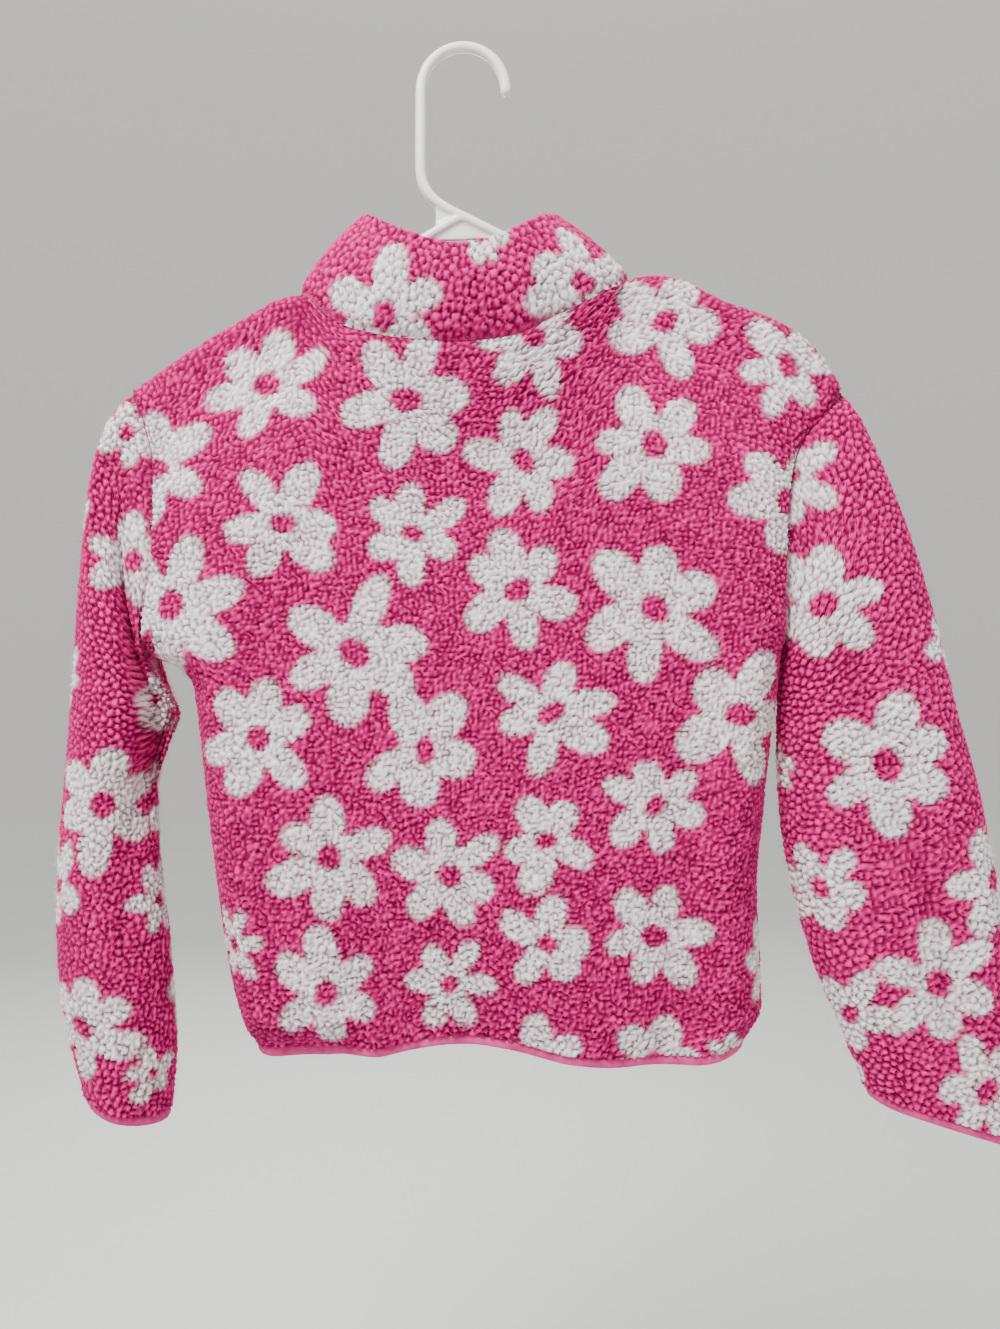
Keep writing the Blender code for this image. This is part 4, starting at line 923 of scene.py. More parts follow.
# ---------------------------------------------------------------- collar
# A stand of the same fleece, sewn to the neck. It is folded over at its top, so that both of
# its faces show pile.
COLLAR_TOP = (  # turn from the wearer's left over the back, then the top edge there
    (0.0, 73.0, 0.0, -115.0), (30.0, 62.0, 27.0, -124.0), (60.0, 35.0, 43.0, -141.0),
    (90.0, 3.0, 47.0, -150.0), (120.0, -30.0, 42.0, -140.0), (150.0, -56.0, 24.0, -122.0),
    (180.0, -67.0, 0.0, -116.0), (210.0, -58.0, -27.0, -131.0), (240.0, -32.0, -43.0, -163.0),
    (270.0, 2.0, -47.0, -178.0), (300.0, 36.0, -43.0, -163.0), (330.0, 63.0, -27.0, -131.0),
    (360.0, 73.0, 0.0, -115.0),
)
COLLAR_HALF_WIDTH = 70.0
COLLAR_HALF_DEPTH = 47.0
ZIP_TURN, ZIP_NEAR = 1.13, 25.0  # at the zip the collar follows its edges, mm to a degree
COLLAR_BELLY, BELLY_BACK = 4.0, 1.2
NECK_LEFT, NECK_RIGHT = 0.2354, 0.7021  # the neck's ends, as columns u
COLLAR_FOLD = 1.2  # how far the fold's pile stands over the cloth's plain edge
FOLD_CORE = 2.0
FOLD_TURNS = (30, 60, 90, 120, 150)
COLLAR_INSIDE = 0.88  # the inner pile's base, as a share of the wall
COLLAR_KNIT = (0.36, 0.60)  # the knit backing's two faces, the same
COLLAR_KNIT_TOP, COLLAR_KNIT_ROWS = 0.975, 12
COLLAR_BACK = (
    (50, -193, 41, 6, 24, 131), (-79, -168, 40, 6, 35, 132), (-12, -145, 20, 5, 270, 133),
)
COLLAR_FRONT = (
    (54, -186, 33, 6, 30, 135), (-48, -186, 34, 5, 10, 136), (4, -226, 25, 6, 0, 137),
    (-92, -150, 26, 6, 40, 138), (88, -150, 26, 5, 20, 139), (-2, -164, 26, 6, 60, 140),
)


def collar_point(seam, share, inner):
    """A point of the collar above a point of the neck seam; share is 0 there, 1 at the top."""
    x, y = seam[..., 0], seam[..., 1]
    turn = np.degrees(np.arctan2(y / NECK_BACK_DEPTH, x / NECK_HALF_WIDTH)) % 360
    from_zip = x - ZIP_TOP_X
    near_zip = np.where(y < 0, np.exp(-((from_zip / ZIP_NEAR) ** 2)), 0)
    turn = turn + near_zip * (270 + from_zip / ZIP_TURN - turn)
    top_x, top_y, top_z = [along(column(COLLAR_TOP, 0), column(COLLAR_TOP, k), turn)
                           for k in (1, 2, 3)]
    out = np.stack([(top_x - ZIP_TOP_X) / COLLAR_HALF_WIDTH ** 2,
                    top_y / COLLAR_HALF_DEPTH ** 2], -1)
    out = out / np.linalg.norm(out, axis=-1, keepdims=True)
    top = np.stack([top_x - WALL * inner * out[..., 0], top_y - WALL * inner * out[..., 1],
                    top_z], -1)
    bow = COLLAR_BELLY * 4 * share * (1 - share)
    away = np.stack([x / NECK_HALF_WIDTH, y / NECK_BACK_DEPTH * BELLY_BACK, 0 * x], -1)
    return seam + (top - seam) * share + bow * away + np.array([0, 0, SEAM_GAP * (1 - share)])


def neck_seam(inner, step):
    """The neck seam from the zip's left edge round the back to its right edge."""
    left_edge, right_edge = left_front(1.0, inner)[1], right_front(1.0, inner)[0]

    def stretch(start, end, side):
        def path(t):
            return body_point(start + (end - start) * t, 1.0, side, 0)
        return body_point(start + (end - start) * even_steps(path, step), 1.0, side, inner)

    back = stretch(NECK_LEFT, NECK_RIGHT, 1)
    back[[0, -1], 1] = 0.0
    return np.concatenate([stretch(left_edge, NECK_LEFT, -1)[:-1], back,
                           stretch(NECK_RIGHT, right_edge, -1)[1:]])


def collar_face(inner, shares, step):
    """A grid of the collar at one depth, row by row from the neck up."""
    seam = neck_seam(inner, step)
    return np.array([collar_point(seam, share, inner) for share in shares])


COLLAR_ROWS = 38
collar_shares = np.linspace(0, 1, COLLAR_ROWS)


def collar_pile(depth):
    """The pile's grid: up the outside, over the fold and down the inside. depth is 0 at the
    pile's top and 1 at the middle of the wall."""
    outside = collar_face(0.0, collar_shares, PILE_STEP)
    inside = collar_face(COLLAR_INSIDE, collar_shares[::-1], PILE_STEP)
    columns = min(outside.shape[1], inside.shape[1])
    outside, inside = outside[:, :columns], inside[:, :columns]
    middle = (outside + inside[::-1]) / 2
    top = middle[-1]
    fold = []
    for turn in np.radians(FOLD_TURNS):
        side = (outside[-1] - top) * math.cos(turn)
        fold.append(top + side + np.array([0, 0, COLLAR_FOLD * math.sin(turn)]))
    surface = np.concatenate([outside, fold, inside])
    core = np.concatenate([middle, [top - [0, 0, FOLD_CORE]] * len(fold), middle[::-1]])
    return surface + (core - surface) * depth


def collar_backing(inner):
    shares = np.linspace(0, COLLAR_KNIT_TOP, COLLAR_KNIT_ROWS)
    return collar_face(COLLAR_KNIT[0 if inner < 1 else 1], shares, BACKING_STEP)


sherpa("collar", collar_pile, collar_backing,
       ((1, COLLAR_BACK), (-1, COLLAR_FRONT)), 6,
       seams=("first_row",) + BODY_SEAMS, fibres=12000, clump=4.2)


# ---------------------------------------------------------------- hem and cuff bindings
# A narrow strip of pink jersey folded over the raw edge of the fleece and stitched through, at
# the hem and round both cuffs. It draws in a little, so it puckers between the stitches.
BINDING_DROP = 6.5
BINDING_LIP = 1.2  # how much narrower it is than the fleece on each face
BINDING_STEP = 1.5
CUFF_STEP = 20.0  # far enough up the sleeve to tell the cuff's slant
BINDING_PROFILE = 18
SQUARE_DOWN, SQUARE_OVER = 0.6, 0.5  # how square its folded profile is: 1 is round
FOLD_FROM, FOLD_NARROW = 0.7, 0.86  # below this share of its drop it is a little narrower
PUCKER = 6.5  # from one pucker to the next
PUCKER_DEPTH = 0.22

# Cotton jersey: finer and smoother than the fleece, and lighter, because it lies taut. Its
# wales are 0.9 mm apart.
jersey, shader = new_material(
    "cotton_jersey", 0.72, Specular_IOR_Level=0.2, Sheen_Weight=0.08, Sheen_Roughness=0.5,
    Sheen_Tint=srgb("#ffd9e8"))
run = add_node(jersey, "ShaderNodeAttribute", {"attribute_name": "run_mm"})
drop = add_node(jersey, "ShaderNodeAttribute", {"attribute_name": "drop_mm"})
wale = add_node(
    jersey, "ShaderNodeMath", {"operation": "MULTIPLY", 1: 2 * math.pi / 0.9},
    {0: run.outputs["Fac"]})
wale = add_node(jersey, "ShaderNodeMath", {"operation": "SINE"}, {0: wale.outputs[0]})
course = add_node(
    jersey, "ShaderNodeMath", {"operation": "MULTIPLY", 1: 2 * math.pi / 1.1},
    {0: drop.outputs["Fac"]})
course = add_node(jersey, "ShaderNodeMath", {"operation": "SINE"}, {0: course.outputs[0]})
stitches = add_node(
    jersey, "ShaderNodeMath", {"operation": "MULTIPLY_ADD"},
    {0: wale.outputs[0], 1: course.outputs[0]})
place = add_node(jersey, "ShaderNodeTexCoord")
blotch = add_node(
    jersey, "ShaderNodeTexNoise", {"Scale": 90.0, "Detail": 3.0},
    {"Vector": place.outputs["Object"]})
jersey_tone = add_node(
    jersey, "ShaderNodeValToRGB", None, {"Fac": blotch.outputs["Fac"]},
    ((0.3, "#bc2a6e"), (0.7, "#e64590")))
bump = add_node(
    jersey, "ShaderNodeBump", {"Strength": 0.35, "Distance": 0.0003},
    {"Height": stitches.outputs[0]})
jersey.node_tree.links.new(jersey_tone.outputs["Color"], shader.inputs["Base Color"])
jersey.node_tree.links.new(bump.outputs[0], shader.inputs["Normal"])


def tube_faces(count, around, closed):
    """Faces of sections laid one after another, each a closed loop of points."""
    index = np.arange(count * around).reshape(count, around)
    if closed:
        index = np.concatenate([index, index[:1]], 0)
    a, b = index[:-1], index[1:]
    quads = np.stack([a, np.roll(a, -1, 1), np.roll(b, -1, 1), b], -1).reshape(-1, 4)
    if closed:
        return [quads]
    return [quads, index[:1, ::-1], index[-1:]]


def outward(obj):
    """Turns a closed mesh's faces out."""
    mesh = obj.data
    mesh.calc_loop_triangles()
    points = np.array([v.co for v in mesh.vertices])
    corner = points[np.array([t.vertices for t in mesh.loop_triangles])]
    volume = (corner[:, 0] * np.cross(corner[:, 1], corner[:, 2])).sum()
    if volume < 0:
        mesh.flip_normals()
    return obj


def binding(name, node, edge, down, closed):
    """A folded strip under a cloth edge. edge(inner) gives the edge's points at a depth."""
    lips = [edge(BINDING_LIP / WALL), edge(1 - BINDING_LIP / WALL)]
    count = min(len(lips[0]), len(lips[1]))
    face, lining = lips[0][:count], lips[1][:count]
    length = np.concatenate([[0], np.cumsum(np.linalg.norm(np.diff(face, axis=0), axis=1))])
    turns = 2 * math.pi * (np.arange(BINDING_PROFILE) + 0.5) / BINDING_PROFILE
    flatten = np.abs(np.sin(turns)) ** SQUARE_DOWN * np.sign(np.sin(turns))
    lean = np.abs(np.cos(turns)) ** SQUARE_OVER * np.sign(np.cos(turns))
    middle, half = (face + lining) / 2, (face - lining) / 2
    drop = GAP + (BINDING_DROP - GAP) * (0.5 - 0.5 * flatten)
    pucker = 1 + PUCKER_DEPTH * np.sin(2 * math.pi * length / PUCKER)[:, None, None] * 0.5
    lean = lean * np.where(drop > FOLD_FROM * BINDING_DROP, FOLD_NARROW, 1.0)
    points = (middle[:, None] + half[:, None] * (lean[None, :, None] * pucker)
              + np.asarray(down)[None, None] * drop[None, :, None])
    fields = {"run_mm": np.repeat(length, BINDING_PROFILE), "drop_mm": np.tile(drop, count)}
    strip = outward(add_mesh(name, points.reshape(-1, 3),
                             tube_faces(count, BINDING_PROFILE, closed), jersey, fields))
    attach(strip, "jacket")
    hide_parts(node)


def body_hem(side, edge_share):
    """The hem's edge of one body cloth, for its binding."""
    def edge(inner):
        start, end = edge_share(0.0, 0)

        def path(t):
            return body_point(start + (end - start) * t, 0.0, side, 0)
        share = even_steps(path, BINDING_STEP)
        start, end = edge_share(0.0, inner)
        return body_point(start + (end - start) * share, 0.0, side, inner)
    return edge


def cuff(layer):
    """The same of a sleeve."""
    def edge(inner):
        return layer(inner)[-1]
    return edge


for name, side, share in (("back", 1, whole_width), ("left", -1, left_front),
                          ("right", -1, right_front)):
    binding("hem_binding_" + name + "_strip", "hem_binding_" + name, body_hem(side, share),
            (0, 0, -1.0), False)
for name, table, which in (("left", SLEEVE_LEFT, 1), ("right", SLEEVE_RIGHT, -1)):
    rings = sleeve_layers(table, which, BINDING_STEP, CUFF_STEP)
    last = rings(0.0)
    down = last[-1].mean(0) - last[-2].mean(0)
    binding("cuff_binding_" + name + "_strip", "cuff_binding_" + name, cuff(rings),
            down / np.linalg.norm(down), True)


# ---------------------------------------------------------------- zip
# A full-length moulded zip, closed: two woven polyester tapes under the fronts' turned edges,
# with acetal teeth moulded onto them, and a zinc slider with a tab that turns on its bail.
TAPE_REACH = 15.0
TAPE_THICK = 1.0
CHAIN_HALF_WIDTH = 3.0
CHAIN_THICK = 2.6
TAPE_DEPTH = WALL + 2 * GAP
CHAIN_DEPTH = TAPE_DEPTH + TAPE_THICK / 2
ZIP_FOOT = 0.004
TOOTH_PITCH = 3.0  # along one tape; the other tape's teeth stand between them
TOOTH_TALL = 1.25
TOOTH_PAST = 1.5  # how far a tooth reaches over the middle
TOOTH_SPAN = 0.01  # of a station, to each side, over which the chain's slant is taken
TAPE_COLUMNS, TAPE_STEP = 6, 3.0

# Polyester twill tape: a fine woven rib along its length and a slight shine. Ends are 0.5 mm
# apart, drawn at 0.8 mm to show.
twill, shader = new_material("polyester_twill_tape", 0.6, "#cf5d92", Sheen_Weight=0.2)
place = add_node(twill, "ShaderNodeTexCoord")
turned = add_node(
    twill, "ShaderNodeMapping", {"Rotation": (0.0, 0.6, 0.0)},
    {"Vector": place.outputs["Object"]})
ribs = add_node(
    twill, "ShaderNodeTexWave", {"bands_direction": "X", "Scale": 200.0, "Distortion": 0.4},
    {"Vector": turned.outputs["Vector"]})
bump = add_node(
    twill, "ShaderNodeBump", {"Strength": 0.5, "Distance": 0.0002},
    {"Height": ribs.outputs["Fac"]})
twill_tone = add_node(
    twill, "ShaderNodeValToRGB", None, {"Fac": ribs.outputs["Fac"]},
    ((0, "#ab2e6c"), (1, "#dc4f8e")))
twill.node_tree.links.new(twill_tone.outputs["Color"], shader.inputs["Base Color"])
twill.node_tree.links.new(bump.outputs[0], shader.inputs["Normal"])

# Acetal, injection moulded: smooth with a soft gloss and faint grain from the mould.
acetal, shader = new_material("moulded_acetal", 0.34, "#dc4789", IOR=1.48)
grain = add_node(acetal, "ShaderNodeTexNoise", {"Scale": 900.0, "Detail": 2.0})
bump = add_node(
    acetal, "ShaderNodeBump", {"Strength": 0.15, "Distance": 0.0001},
    {"Height": grain.outputs["Fac"]})
acetal.node_tree.links.new(bump.outputs[0], shader.inputs["Normal"])

# Die-cast zinc, nickel plated and tumbled: bright, with fine rubbed scratches.
nickel, shader = new_material("nickel_plated_zinc", 0.24, "#c9c6bf", Metallic=1.0)
rubbed = add_node(nickel, "ShaderNodeTexNoise", {"Scale": 700.0, "Detail": 4.0})
spread = add_node(
    nickel, "ShaderNodeMapRange", {"From Min": 0.3, "From Max": 0.7, "To Min": 0.18,
                                   "To Max": 0.36}, {"Value": rubbed.outputs["Fac"]})
bump = add_node(
    nickel, "ShaderNodeBump", {"Strength": 0.12, "Distance": 0.0001},
    {"Height": rubbed.outputs["Fac"]})
nickel.node_tree.links.new(spread.outputs["Result"], shader.inputs["Roughness"])
nickel.node_tree.links.new(bump.outputs[0], shader.inputs["Normal"])


def zip_point(offset, station, depth):
    """A point of the zip: offset across, station 0 to 1 up the body and 1 to 2 up the collar,
    depth in from the cloth's outer face."""
    inner = depth / WALL
    v = min(station, 1.0)
    point = body_point(column_at(zip_x(v) + offset, v, inner), v, -1, inner)
    if station > 1:
        point = collar_point(point, station - 1, inner)
    return point


def zip_line(shares):
    """The chain's middle line, from the hem to the collar's top."""
    stations = ZIP_FOOT + (2 - ZIP_FOOT) * shares
    return np.array([zip_point(0.0, s, CHAIN_DEPTH) for s in stations])


zip_stations = ZIP_FOOT + (2 - ZIP_FOOT) * even_steps(zip_line, TAPE_STEP)
for name, offsets in (("left", (TAPE_REACH, CHAIN_HALF_WIDTH + GAP)),
                      ("right", (-CHAIN_HALF_WIDTH - GAP, -TAPE_REACH))):
    across = np.linspace(offsets[0], offsets[1], TAPE_COLUMNS)
    faces = [np.array([[zip_point(o, s, d) for o in across] for s in zip_stations])
             for d in (TAPE_DEPTH, TAPE_DEPTH + TAPE_THICK)]
    tape = outward(cloth_wall("zip_tape_" + name + "_weave", faces[0], faces[1], twill))
    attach(tape, "jacket")
    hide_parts("zip_tape_" + name)


def tooth_block():
    """One moulded tooth in its own place: x across from its tape, y through, z along the zip."""
    outline = ((0.0, -0.5), (0.62, -0.42), (0.8, -0.5), (1.0, -0.3),
               (1.0, 0.3), (0.8, 0.5), (0.62, 0.42), (0.0, 0.5))
    points, faces = [], []
    for depth, shrink in ((-0.5, 0.82), (-0.36, 1.0), (0.36, 1.0), (0.5, 0.82)):
        for x, z in outline:
            points.append((0.5 + (x - 0.5) * (0.94 if shrink < 1 else 1.0), depth, z * shrink))
    count = len(outline)
    for level in range(3):
        for k in range(count):
            n = (k + 1) % count
            faces.append((level * count + k, level * count + n,
                          (level + 1) * count + n, (level + 1) * count + k))
    quads = np.array(faces)
    middle = [[b + k, b + k + 1, b + 6 - k, b + 7 - k] for b in (0, 3 * count) for k in range(3)]
    return np.array(points), np.concatenate([quads, np.array(middle)])


block, block_faces = tooth_block()
tooth_shares = even_steps(zip_line, TOOTH_PITCH / 2)
tooth_stations = ZIP_FOOT + (2 - ZIP_FOOT) * tooth_shares
points, faces = [], []
for n, station in enumerate(tooth_stations[1:-1]):
    way = 1 if n % 2 else -1
    spot = zip_point(0.0, station, CHAIN_DEPTH)
    ahead = zip_point(0.0, min(2.0, station + TOOTH_SPAN), CHAIN_DEPTH)
    behind = zip_point(0.0, max(ZIP_FOOT, station - TOOTH_SPAN), CHAIN_DEPTH)
    rise = (ahead - behind) / np.linalg.norm(ahead - behind)
    over = np.cross(rise, [0, 1.0, 0])
    over /= np.linalg.norm(over)
    through = np.cross(over, rise)
    long = CHAIN_HALF_WIDTH + TOOTH_PAST
    local = (block[:, :1] * -way * long + way * CHAIN_HALF_WIDTH) * over
    local = local + block[:, 1:2] * CHAIN_THICK * through + block[:, 2:] * 2 * TOOTH_TALL * rise
    faces.append((block_faces if way < 0 else block_faces[:, ::-1]) + len(points) * len(block))
    points.append(spot + local)
teeth = outward(add_mesh("zip_chain_teeth", np.concatenate(points), np.concatenate(faces), acetal,
                         smooth=False))
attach(teeth, "jacket")
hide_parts("zip_chain")

# The slider: a front plate that widens to its shoulders, a bail cast on it, and a ridge down
# the middle.
SLIDER_STATION, SLIDER_SPAN = 1.84, 0.08  # its place, and what it spans to each side
SLIDER_THICK = 4.8
PLATE_THICK, PLATE_SOFT = 2.0, 0.45
FLANGE_THICK, FLANGE_IN = 3.4, 1.9
RIDGE_THICK, RIDGE_OUT, RIDGE_SOFT = 0.8, 0.15, 0.25
CAST_SOFT = 0.3  # the rounding of a casting's edges
SLIDER_OUTLINE = (
    (-3.0, 5.75), (3.0, 5.75), (4.4, 4.6), (4.75, 2.6), (4.3, 0.2), (3.6, -2.2), (3.3, -4.6),
    (2.4, -5.75), (-2.4, -5.75), (-3.3, -4.6), (-3.6, -2.2), (-4.3, 0.2), (-4.75, 2.6),
    (-4.4, 4.6),
)
BAIL = ((-0.6, -3.8), (2.3, -3.8), (3.4, -2.7), (3.4, 2.7), (2.3, 3.8), (-0.6, 3.8))
BAIL_WINDOW = ((0.0, -2.6), (2.3, -2.6), (2.3, 2.6), (0.0, 2.6))
FLANGE = ((2.9, 4.9), (4.5, 3.0), (3.5, -4.6), (2.6, -4.6))
RIDGE = ((-0.8, 4.6), (0.8, 4.6), (1.1, 3.6), (0.6, -4.8), (-0.6, -4.8), (-1.1, 3.6))
BAIL_THICK = 1.6
PULL_AXIS = (1.15, -1.0)
PULL_THICK, PULL_SOFT = 1.2, 0.28
PULL_OUTLINE = (
    (-2.6, 0.6), (2.6, 0.6), (3.1, -0.4), (3.5, -7.5), (3.5, -22.0), (2.5, -24.0),
    (-2.5, -24.0), (-3.5, -22.0), (-3.5, -7.5), (-3.1, -0.4),
)
PULL_WINDOW = ((-1.7, -0.6), (1.7, -0.6), (1.7, -6.0), (-1.7, -6.0))
PULL_SLOT = ((-1.5, -17.5), (1.5, -17.5), (1.9, -18.6), (1.9, -20.6), (1.5, -21.7),
             (-1.5, -21.7), (-1.9, -20.6), (-1.9, -18.6))


def cast_plate(name, outlines, thick, soften):
    """A flat casting with softened edges, from outlines in its own XY plane."""
    curve = bpy.data.curves.new(name, "CURVE")
    curve.dimensions = "2D"
    curve.fill_mode = "BOTH"
    curve.extrude = (thick / 2 - soften) * MM
    curve.bevel_depth = soften * MM
    curve.bevel_resolution = 2
    curve.offset = -soften * MM
    for outline in outlines:
        spline = curve.splines.new("POLY")
        spline.points.add(len(outline) - 1)
        for spot, (x, y) in zip(spline.points, outline):
            spot.co = (x * MM, y * MM, 0, 1)
        spline.use_cyclic_u = True
    guide = bpy.data.objects.new(name, curve)
    bpy.context.scene.collection.objects.link(guide)
    bpy.context.view_layer.update()
    graph = bpy.context.evaluated_depsgraph_get()
    mesh = bpy.data.meshes.new_from_object(guide.evaluated_get(graph))
    bpy.data.objects.remove(guide)
    obj = bpy.data.objects.new(name, mesh)
    bpy.context.scene.collection.objects.link(obj)
    weld(mesh)
    return obj


def weld(mesh):
    """Merges doubled points and turns the faces out."""
    shape = bmesh.new()
    shape.from_mesh(mesh)
    bmesh.ops.remove_doubles(shape, verts=shape.verts, dist=0.00001)
    bmesh.ops.recalc_face_normals(shape, faces=shape.faces)
    shape.to_mesh(mesh)
    shape.free()


def one_piece(name, parts, material, angle=35):
    """Joins meshes, each moved by its matrix, into one piece."""
    shape = bmesh.new()
    for obj, place in parts:
        mesh = obj.data
        mesh.transform(place)
        shape.from_mesh(mesh)
        bpy.data.objects.remove(obj)
    mesh = bpy.data.meshes.new(name)
    shape.to_mesh(mesh)
    shape.free()
    mesh.materials.clear()
    mesh.materials.append(material)
    mesh.shade_smooth()
    mesh.set_sharp_from_angle(angle=math.radians(angle))
    obj = bpy.data.objects.new(name, mesh)
    bpy.context.scene.collection.objects.link(obj)
    return obj


face_depth = CHAIN_DEPTH - CHAIN_THICK / 2 - GAP
seat = zip_point(0.0, SLIDER_STATION, face_depth)
rise = zip_point(0.0, SLIDER_STATION + SLIDER_SPAN, face_depth)
rise = rise - zip_point(0.0, SLIDER_STATION - SLIDER_SPAN, face_depth)
seat = (Matrix.Translation(Vector(seat) * MM)
        @ Matrix.Rotation(math.atan2(-rise[1], rise[2]), 4, "X"))
upright = Matrix.Rotation(math.radians(90), 4, "X")
outward_plate = Matrix(((0, 0, -1, 0), (-1, 0, 0, 0), (0, 1, 0, 0), (0, 0, 0, 1)))


def out_of_seat(depth):
    return seat @ Matrix.Translation((0, -depth * MM, 0))


slider = one_piece("zip_slider_body", (
    (cast_plate("plate", [SLIDER_OUTLINE], PLATE_THICK, PLATE_SOFT),
     out_of_seat(SLIDER_THICK - PLATE_THICK / 2) @ upright),
    (cast_plate("flange_left", [FLANGE], FLANGE_THICK, CAST_SOFT),
     out_of_seat(FLANGE_IN) @ upright),
    (cast_plate("flange_right", [[(-x, z) for x, z in FLANGE]], FLANGE_THICK, CAST_SOFT),
     out_of_seat(FLANGE_IN) @ upright),
    (cast_plate("ridge", [RIDGE], RIDGE_THICK, RIDGE_SOFT),
     out_of_seat(SLIDER_THICK - RIDGE_OUT) @ upright),
    (cast_plate("bail", [BAIL, BAIL_WINDOW], BAIL_THICK, CAST_SOFT),
     out_of_seat(SLIDER_THICK) @ outward_plate),
), nickel)
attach(slider, "jacket")
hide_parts("zip_slider")

# The tab: a die-cast strap with a square eye for the bail and a slot at its tip.
out, up = PULL_AXIS
axis = seat @ Matrix.Translation((0, -(SLIDER_THICK + out) * MM, up * MM)) @ upright
tab = one_piece("zip_pull_tab", (
    (cast_plate("tab", [PULL_OUTLINE, PULL_WINDOW, PULL_SLOT], PULL_THICK, PULL_SOFT), axis),
), nickel)
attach(tab, "pull_tab")
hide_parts("zip_pull")


# ---------------------------------------------------------------- hanger
# A white tubular hanger, injection moulded in one piece of polypropylene: hook, two arms with
# rounded ends, bottom bar, and thin webs that stiffen the hook's foot.
ROD = 3.7  # the rods' radius
ROD_STEP, ROD_SIDES = 2.0, 16
CORNER_SOFTENING = 6  # passes that round the rods' bends
CAP_TURNS = (0.35, 0.7, 1.0, 1.25)  # radians round a rod's rounded end
HOOK_RADIUS = 29.0
HOOK_CENTRE = (0.4, -25.3)
PEAK = (1.3, -112.0)
HANGER_ROLL = 2.1
ARM_BEND = (110.0, -60.3)
ARM_REACH = 187.0
ARM_DROP = -96.8
END_ROUND = 11.0
STEM = (
    (29.4, -60.0), (29.4, -83.5), (28.2, -90.0), (24.5, -96.8),
    (18.3, -102.8), (10.2, -107.8), (1.3, -112.0), (-6.0, -115.6),
)
WEBS = (
    ((19.3, -102.0), (19.3, -121.0), (0.0, -112.0)),
    ((1.3, -112.0), (26.0, -125.5), (26.0, -129.0), (-22.0, -127.5), (-22.0, -124.0)),
)
WEB_THICK = 2.4
HOOK_SWEEP = (183, -4, 30)  # degrees from and to, and steps
END_SWEEP = (62, -90, 8)
MOULD_GRAIN = 1.05  # remeshing step that blends the rods and webs into one moulding

# Polypropylene, moulded: milky white, a soft gloss, slightly uneven where it shrank on cooling.
polypropylene, shader = new_material(
    "moulded_polypropylene", 0.3, "#eeedea", IOR=1.49, Subsurface_Weight=0.12,
    Subsurface_Radius=(0.004, 0.004, 0.0035), Subsurface_Scale=0.5)
place = add_node(polypropylene, "ShaderNodeTexCoord")
shrink = add_node(
    polypropylene, "ShaderNodeTexNoise", {"Scale": 60.0, "Detail": 2.0},
    {"Vector": place.outputs["Object"]})
bump = add_node(
    polypropylene, "ShaderNodeBump", {"Strength": 0.12, "Distance": 0.0006},
    {"Height": shrink.outputs["Fac"]})
gloss = add_node(
    polypropylene, "ShaderNodeMapRange", {"To Min": 0.24, "To Max": 0.38},
    {"Value": shrink.outputs["Fac"]})
polypropylene.node_tree.links.new(gloss.outputs["Result"], shader.inputs["Roughness"])
polypropylene.node_tree.links.new(bump.outputs[0], shader.inputs["Normal"])


def arc(centre, radius, start, end, steps):
    """Points of a round bend, in degrees from +X."""
    turns = [math.radians(start + (end - start) * k / steps) for k in range(steps + 1)]
    return [(centre[0] + radius * math.cos(t), centre[1] + radius * math.sin(t)) for t in turns]


def rod(name, points, cyclic=False):
    """A round rod along points in the garment's middle plane, with rounded ends."""
    path = [np.array([x, 0.0, z]) for x, z in points]
    if cyclic:
        path = path + [path[0]]
    fine = [path[0]]
    for a, b in zip(path[:-1], path[1:]):
        count = max(1, int(np.linalg.norm(b - a) / ROD_STEP))
        fine += [a + (b - a) * k / count for k in range(1, count + 1)]
    fine = np.array(fine)
    for _ in range(CORNER_SOFTENING):
        first, last = (fine[-2:-1], fine[1:2]) if cyclic else (fine[:1], fine[-1:])
        wide = np.concatenate([first, fine, last])
        soft = 0.25 * wide[:-2] + 0.5 * wide[1:-1] + 0.25 * wide[2:]
        fine = soft if cyclic else np.concatenate([fine[:1], soft[1:-1], fine[-1:]])
    ahead = np.gradient(fine, axis=0)
    if cyclic:
        ahead[0] = ahead[-1] = fine[1] - fine[-2]
    ahead /= np.linalg.norm(ahead, axis=1, keepdims=True)
    radius = np.full(len(fine), ROD)
    if cyclic:
        fine, ahead, radius = fine[:-1], ahead[:-1], radius[:-1]
    else:
        count = len(CAP_TURNS)
        past = ROD * np.sin(CAP_TURNS)[:, None]
        sizes = ROD * np.cos(CAP_TURNS)
        fine = np.concatenate([(fine[0] - ahead[0] * past)[::-1], fine,
                               fine[-1] + ahead[-1] * past])
        ahead = np.concatenate([[ahead[0]] * count, ahead, [ahead[-1]] * count])
        radius = np.concatenate([sizes[::-1], radius, sizes])
    turns = 2 * math.pi * np.arange(ROD_SIDES) / ROD_SIDES
    side = np.cross(ahead, [0, 1.0, 0])
    rings = (fine[:, None] + radius[:, None, None]
             * (np.cos(turns)[None, :, None] * side[:, None]
                + np.sin(turns)[None, :, None] * np.array([0, 1.0, 0])))
    return outward(add_mesh(name, rings.reshape(-1, 3),
                            tube_faces(len(fine), ROD_SIDES, cyclic), polypropylene))


def rolled(x, z):
    """A point of the arms, given from their peak, on the hanger as it hangs a little askew."""
    roll = math.radians(HANGER_ROLL)
    return (PEAK[0] + x * math.cos(roll) + z * math.sin(roll),
            PEAK[1] - x * math.sin(roll) + z * math.cos(roll))


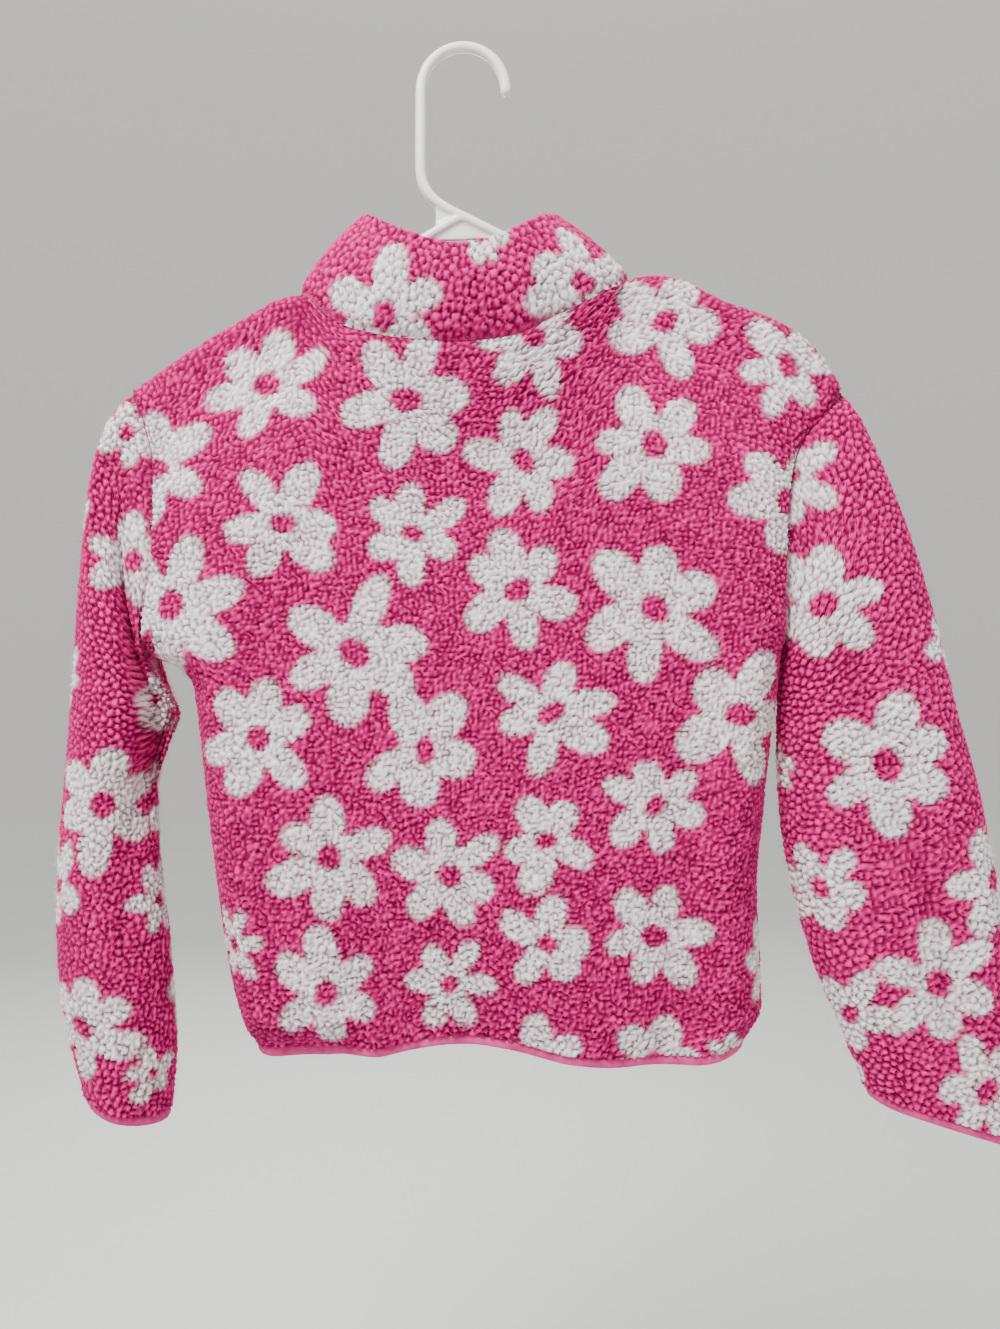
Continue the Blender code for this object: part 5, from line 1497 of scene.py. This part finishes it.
half = [(0.0, 0.0), (ARM_BEND[0] * 0.5, ARM_BEND[1] * 0.5), ARM_BEND]
half += arc((ARM_REACH - END_ROUND, ARM_DROP - END_ROUND), END_ROUND, *END_SWEEP)
outline = [rolled(x, z) for x, z in half] + [rolled(-x, z) for x, z in half[1:]][::-1]
still = Matrix.Identity(4)
parts = [(rod("arms", outline, cyclic=True), still),
         (rod("hook", arc(HOOK_CENTRE, HOOK_RADIUS, *HOOK_SWEEP) + list(STEM)), still)]
for k, web in enumerate(WEBS):
    parts.append((cast_plate("web_%d" % k, [web], WEB_THICK, CAST_SOFT), upright))
hanger = one_piece("hanger_moulding", parts, polypropylene, angle=180)
blend = hanger.modifiers.new("blend", "REMESH")
blend.mode = "VOXEL"
blend.voxel_size = MOULD_GRAIN * MM
soften = hanger.modifiers.new("soften", "SMOOTH")
soften.factor = 0.5
soften.iterations = 5
bpy.context.view_layer.update()
moulded = bpy.data.meshes.new_from_object(
    hanger.evaluated_get(bpy.context.evaluated_depsgraph_get()))
hanger.modifiers.clear()
hanger.data = moulded
moulded.shade_smooth()
moulded.materials.clear()
moulded.materials.append(polypropylene)
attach(hanger, "jacket")
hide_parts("hanger")


# ---------------------------------------------------------------- light, floor and camera
# A plain pale floor well below the hem, pale surroundings, and large soft lamps. The main one
# hangs high before the jacket's back and to its left, so light falls off down and to the right.
floor_paint, shader = new_material("matt_floor_paint", 0.9, "#d5d6d3", Specular_IOR_Level=0.2)
tone = add_node(floor_paint, "ShaderNodeTexNoise", {"Scale": 2.0, "Detail": 2.0})
shift = add_node(
    floor_paint, "ShaderNodeValToRGB", None, {"Fac": tone.outputs["Fac"]},
    ((0, "#d0d1ce"), (1, "#d8d9d6")))
floor_paint.node_tree.links.new(shift.outputs["Color"], shader.inputs["Base Color"])
FLOOR_Z = -1400.0
FLOOR_HALF = 6000.0
floor = add_mesh(
    "floor", [(x * FLOOR_HALF, y * FLOOR_HALF, FLOOR_Z)
              for x, y in ((-1, -1), (1, -1), (1, 1), (-1, 1))],
    np.array([[0, 1, 2, 3]]), floor_paint)

world = bpy.data.worlds.new("pale_studio")
bpy.context.scene.world = world
world.use_nodes = True
sky = add_node(world, "ShaderNodeTexCoord")
upward = add_node(world, "ShaderNodeSeparateXYZ", None, {0: sky.outputs["Generated"]})
ceiling = add_node(
    world, "ShaderNodeValToRGB", None, {"Fac": upward.outputs["Z"]},
    ((0, "#b6b5b2"), (1, "#fafaf8"), (0.5, "#c0bfbb"), (0.75, "#d6d5d3")))
surroundings = world.node_tree.nodes["Background"]
surroundings.inputs["Strength"].default_value = 1.36
world.node_tree.links.new(ceiling.outputs["Color"], surroundings.inputs["Color"])


def soft_light(name, place, aim, size, watts):
    """A round lamp with a soft front, in metres and watts."""
    data = bpy.data.lights.new(name, "AREA")
    data.shape = "DISK"
    data.size = size
    data.energy = watts
    lamp = bpy.data.objects.new(name, data)
    lamp.location = place
    lamp.rotation_euler = (Vector(aim) - Vector(place)).to_track_quat("-Z", "Y").to_euler()
    bpy.context.scene.collection.objects.link(lamp)


soft_light("key", (0.65, 1.15, 1.2), (0.03, 0, -0.3), 0.9, 90.0)
soft_light("fill", (-1.6, 1.3, 0.1), (0, 0, -0.4), 1.4, 8.0)
soft_light("front_fill", (0.4, -2.0, 0.6), (0, 0, -0.4), 1.6, 50.0)

camera_data = bpy.data.cameras.new("camera")
camera_data.sensor_fit = "VERTICAL"
camera_data.sensor_height = 24.0
camera_data.lens = 18.06  # a phone's main lens, from about 0.7 m
camera = bpy.data.objects.new("camera", camera_data)
camera.location = (-0.0245, 0.68, -0.4165)
camera.rotation_euler = (math.radians(90), 0, math.radians(180))
bpy.context.scene.collection.objects.link(camera)
bpy.context.scene.camera = camera
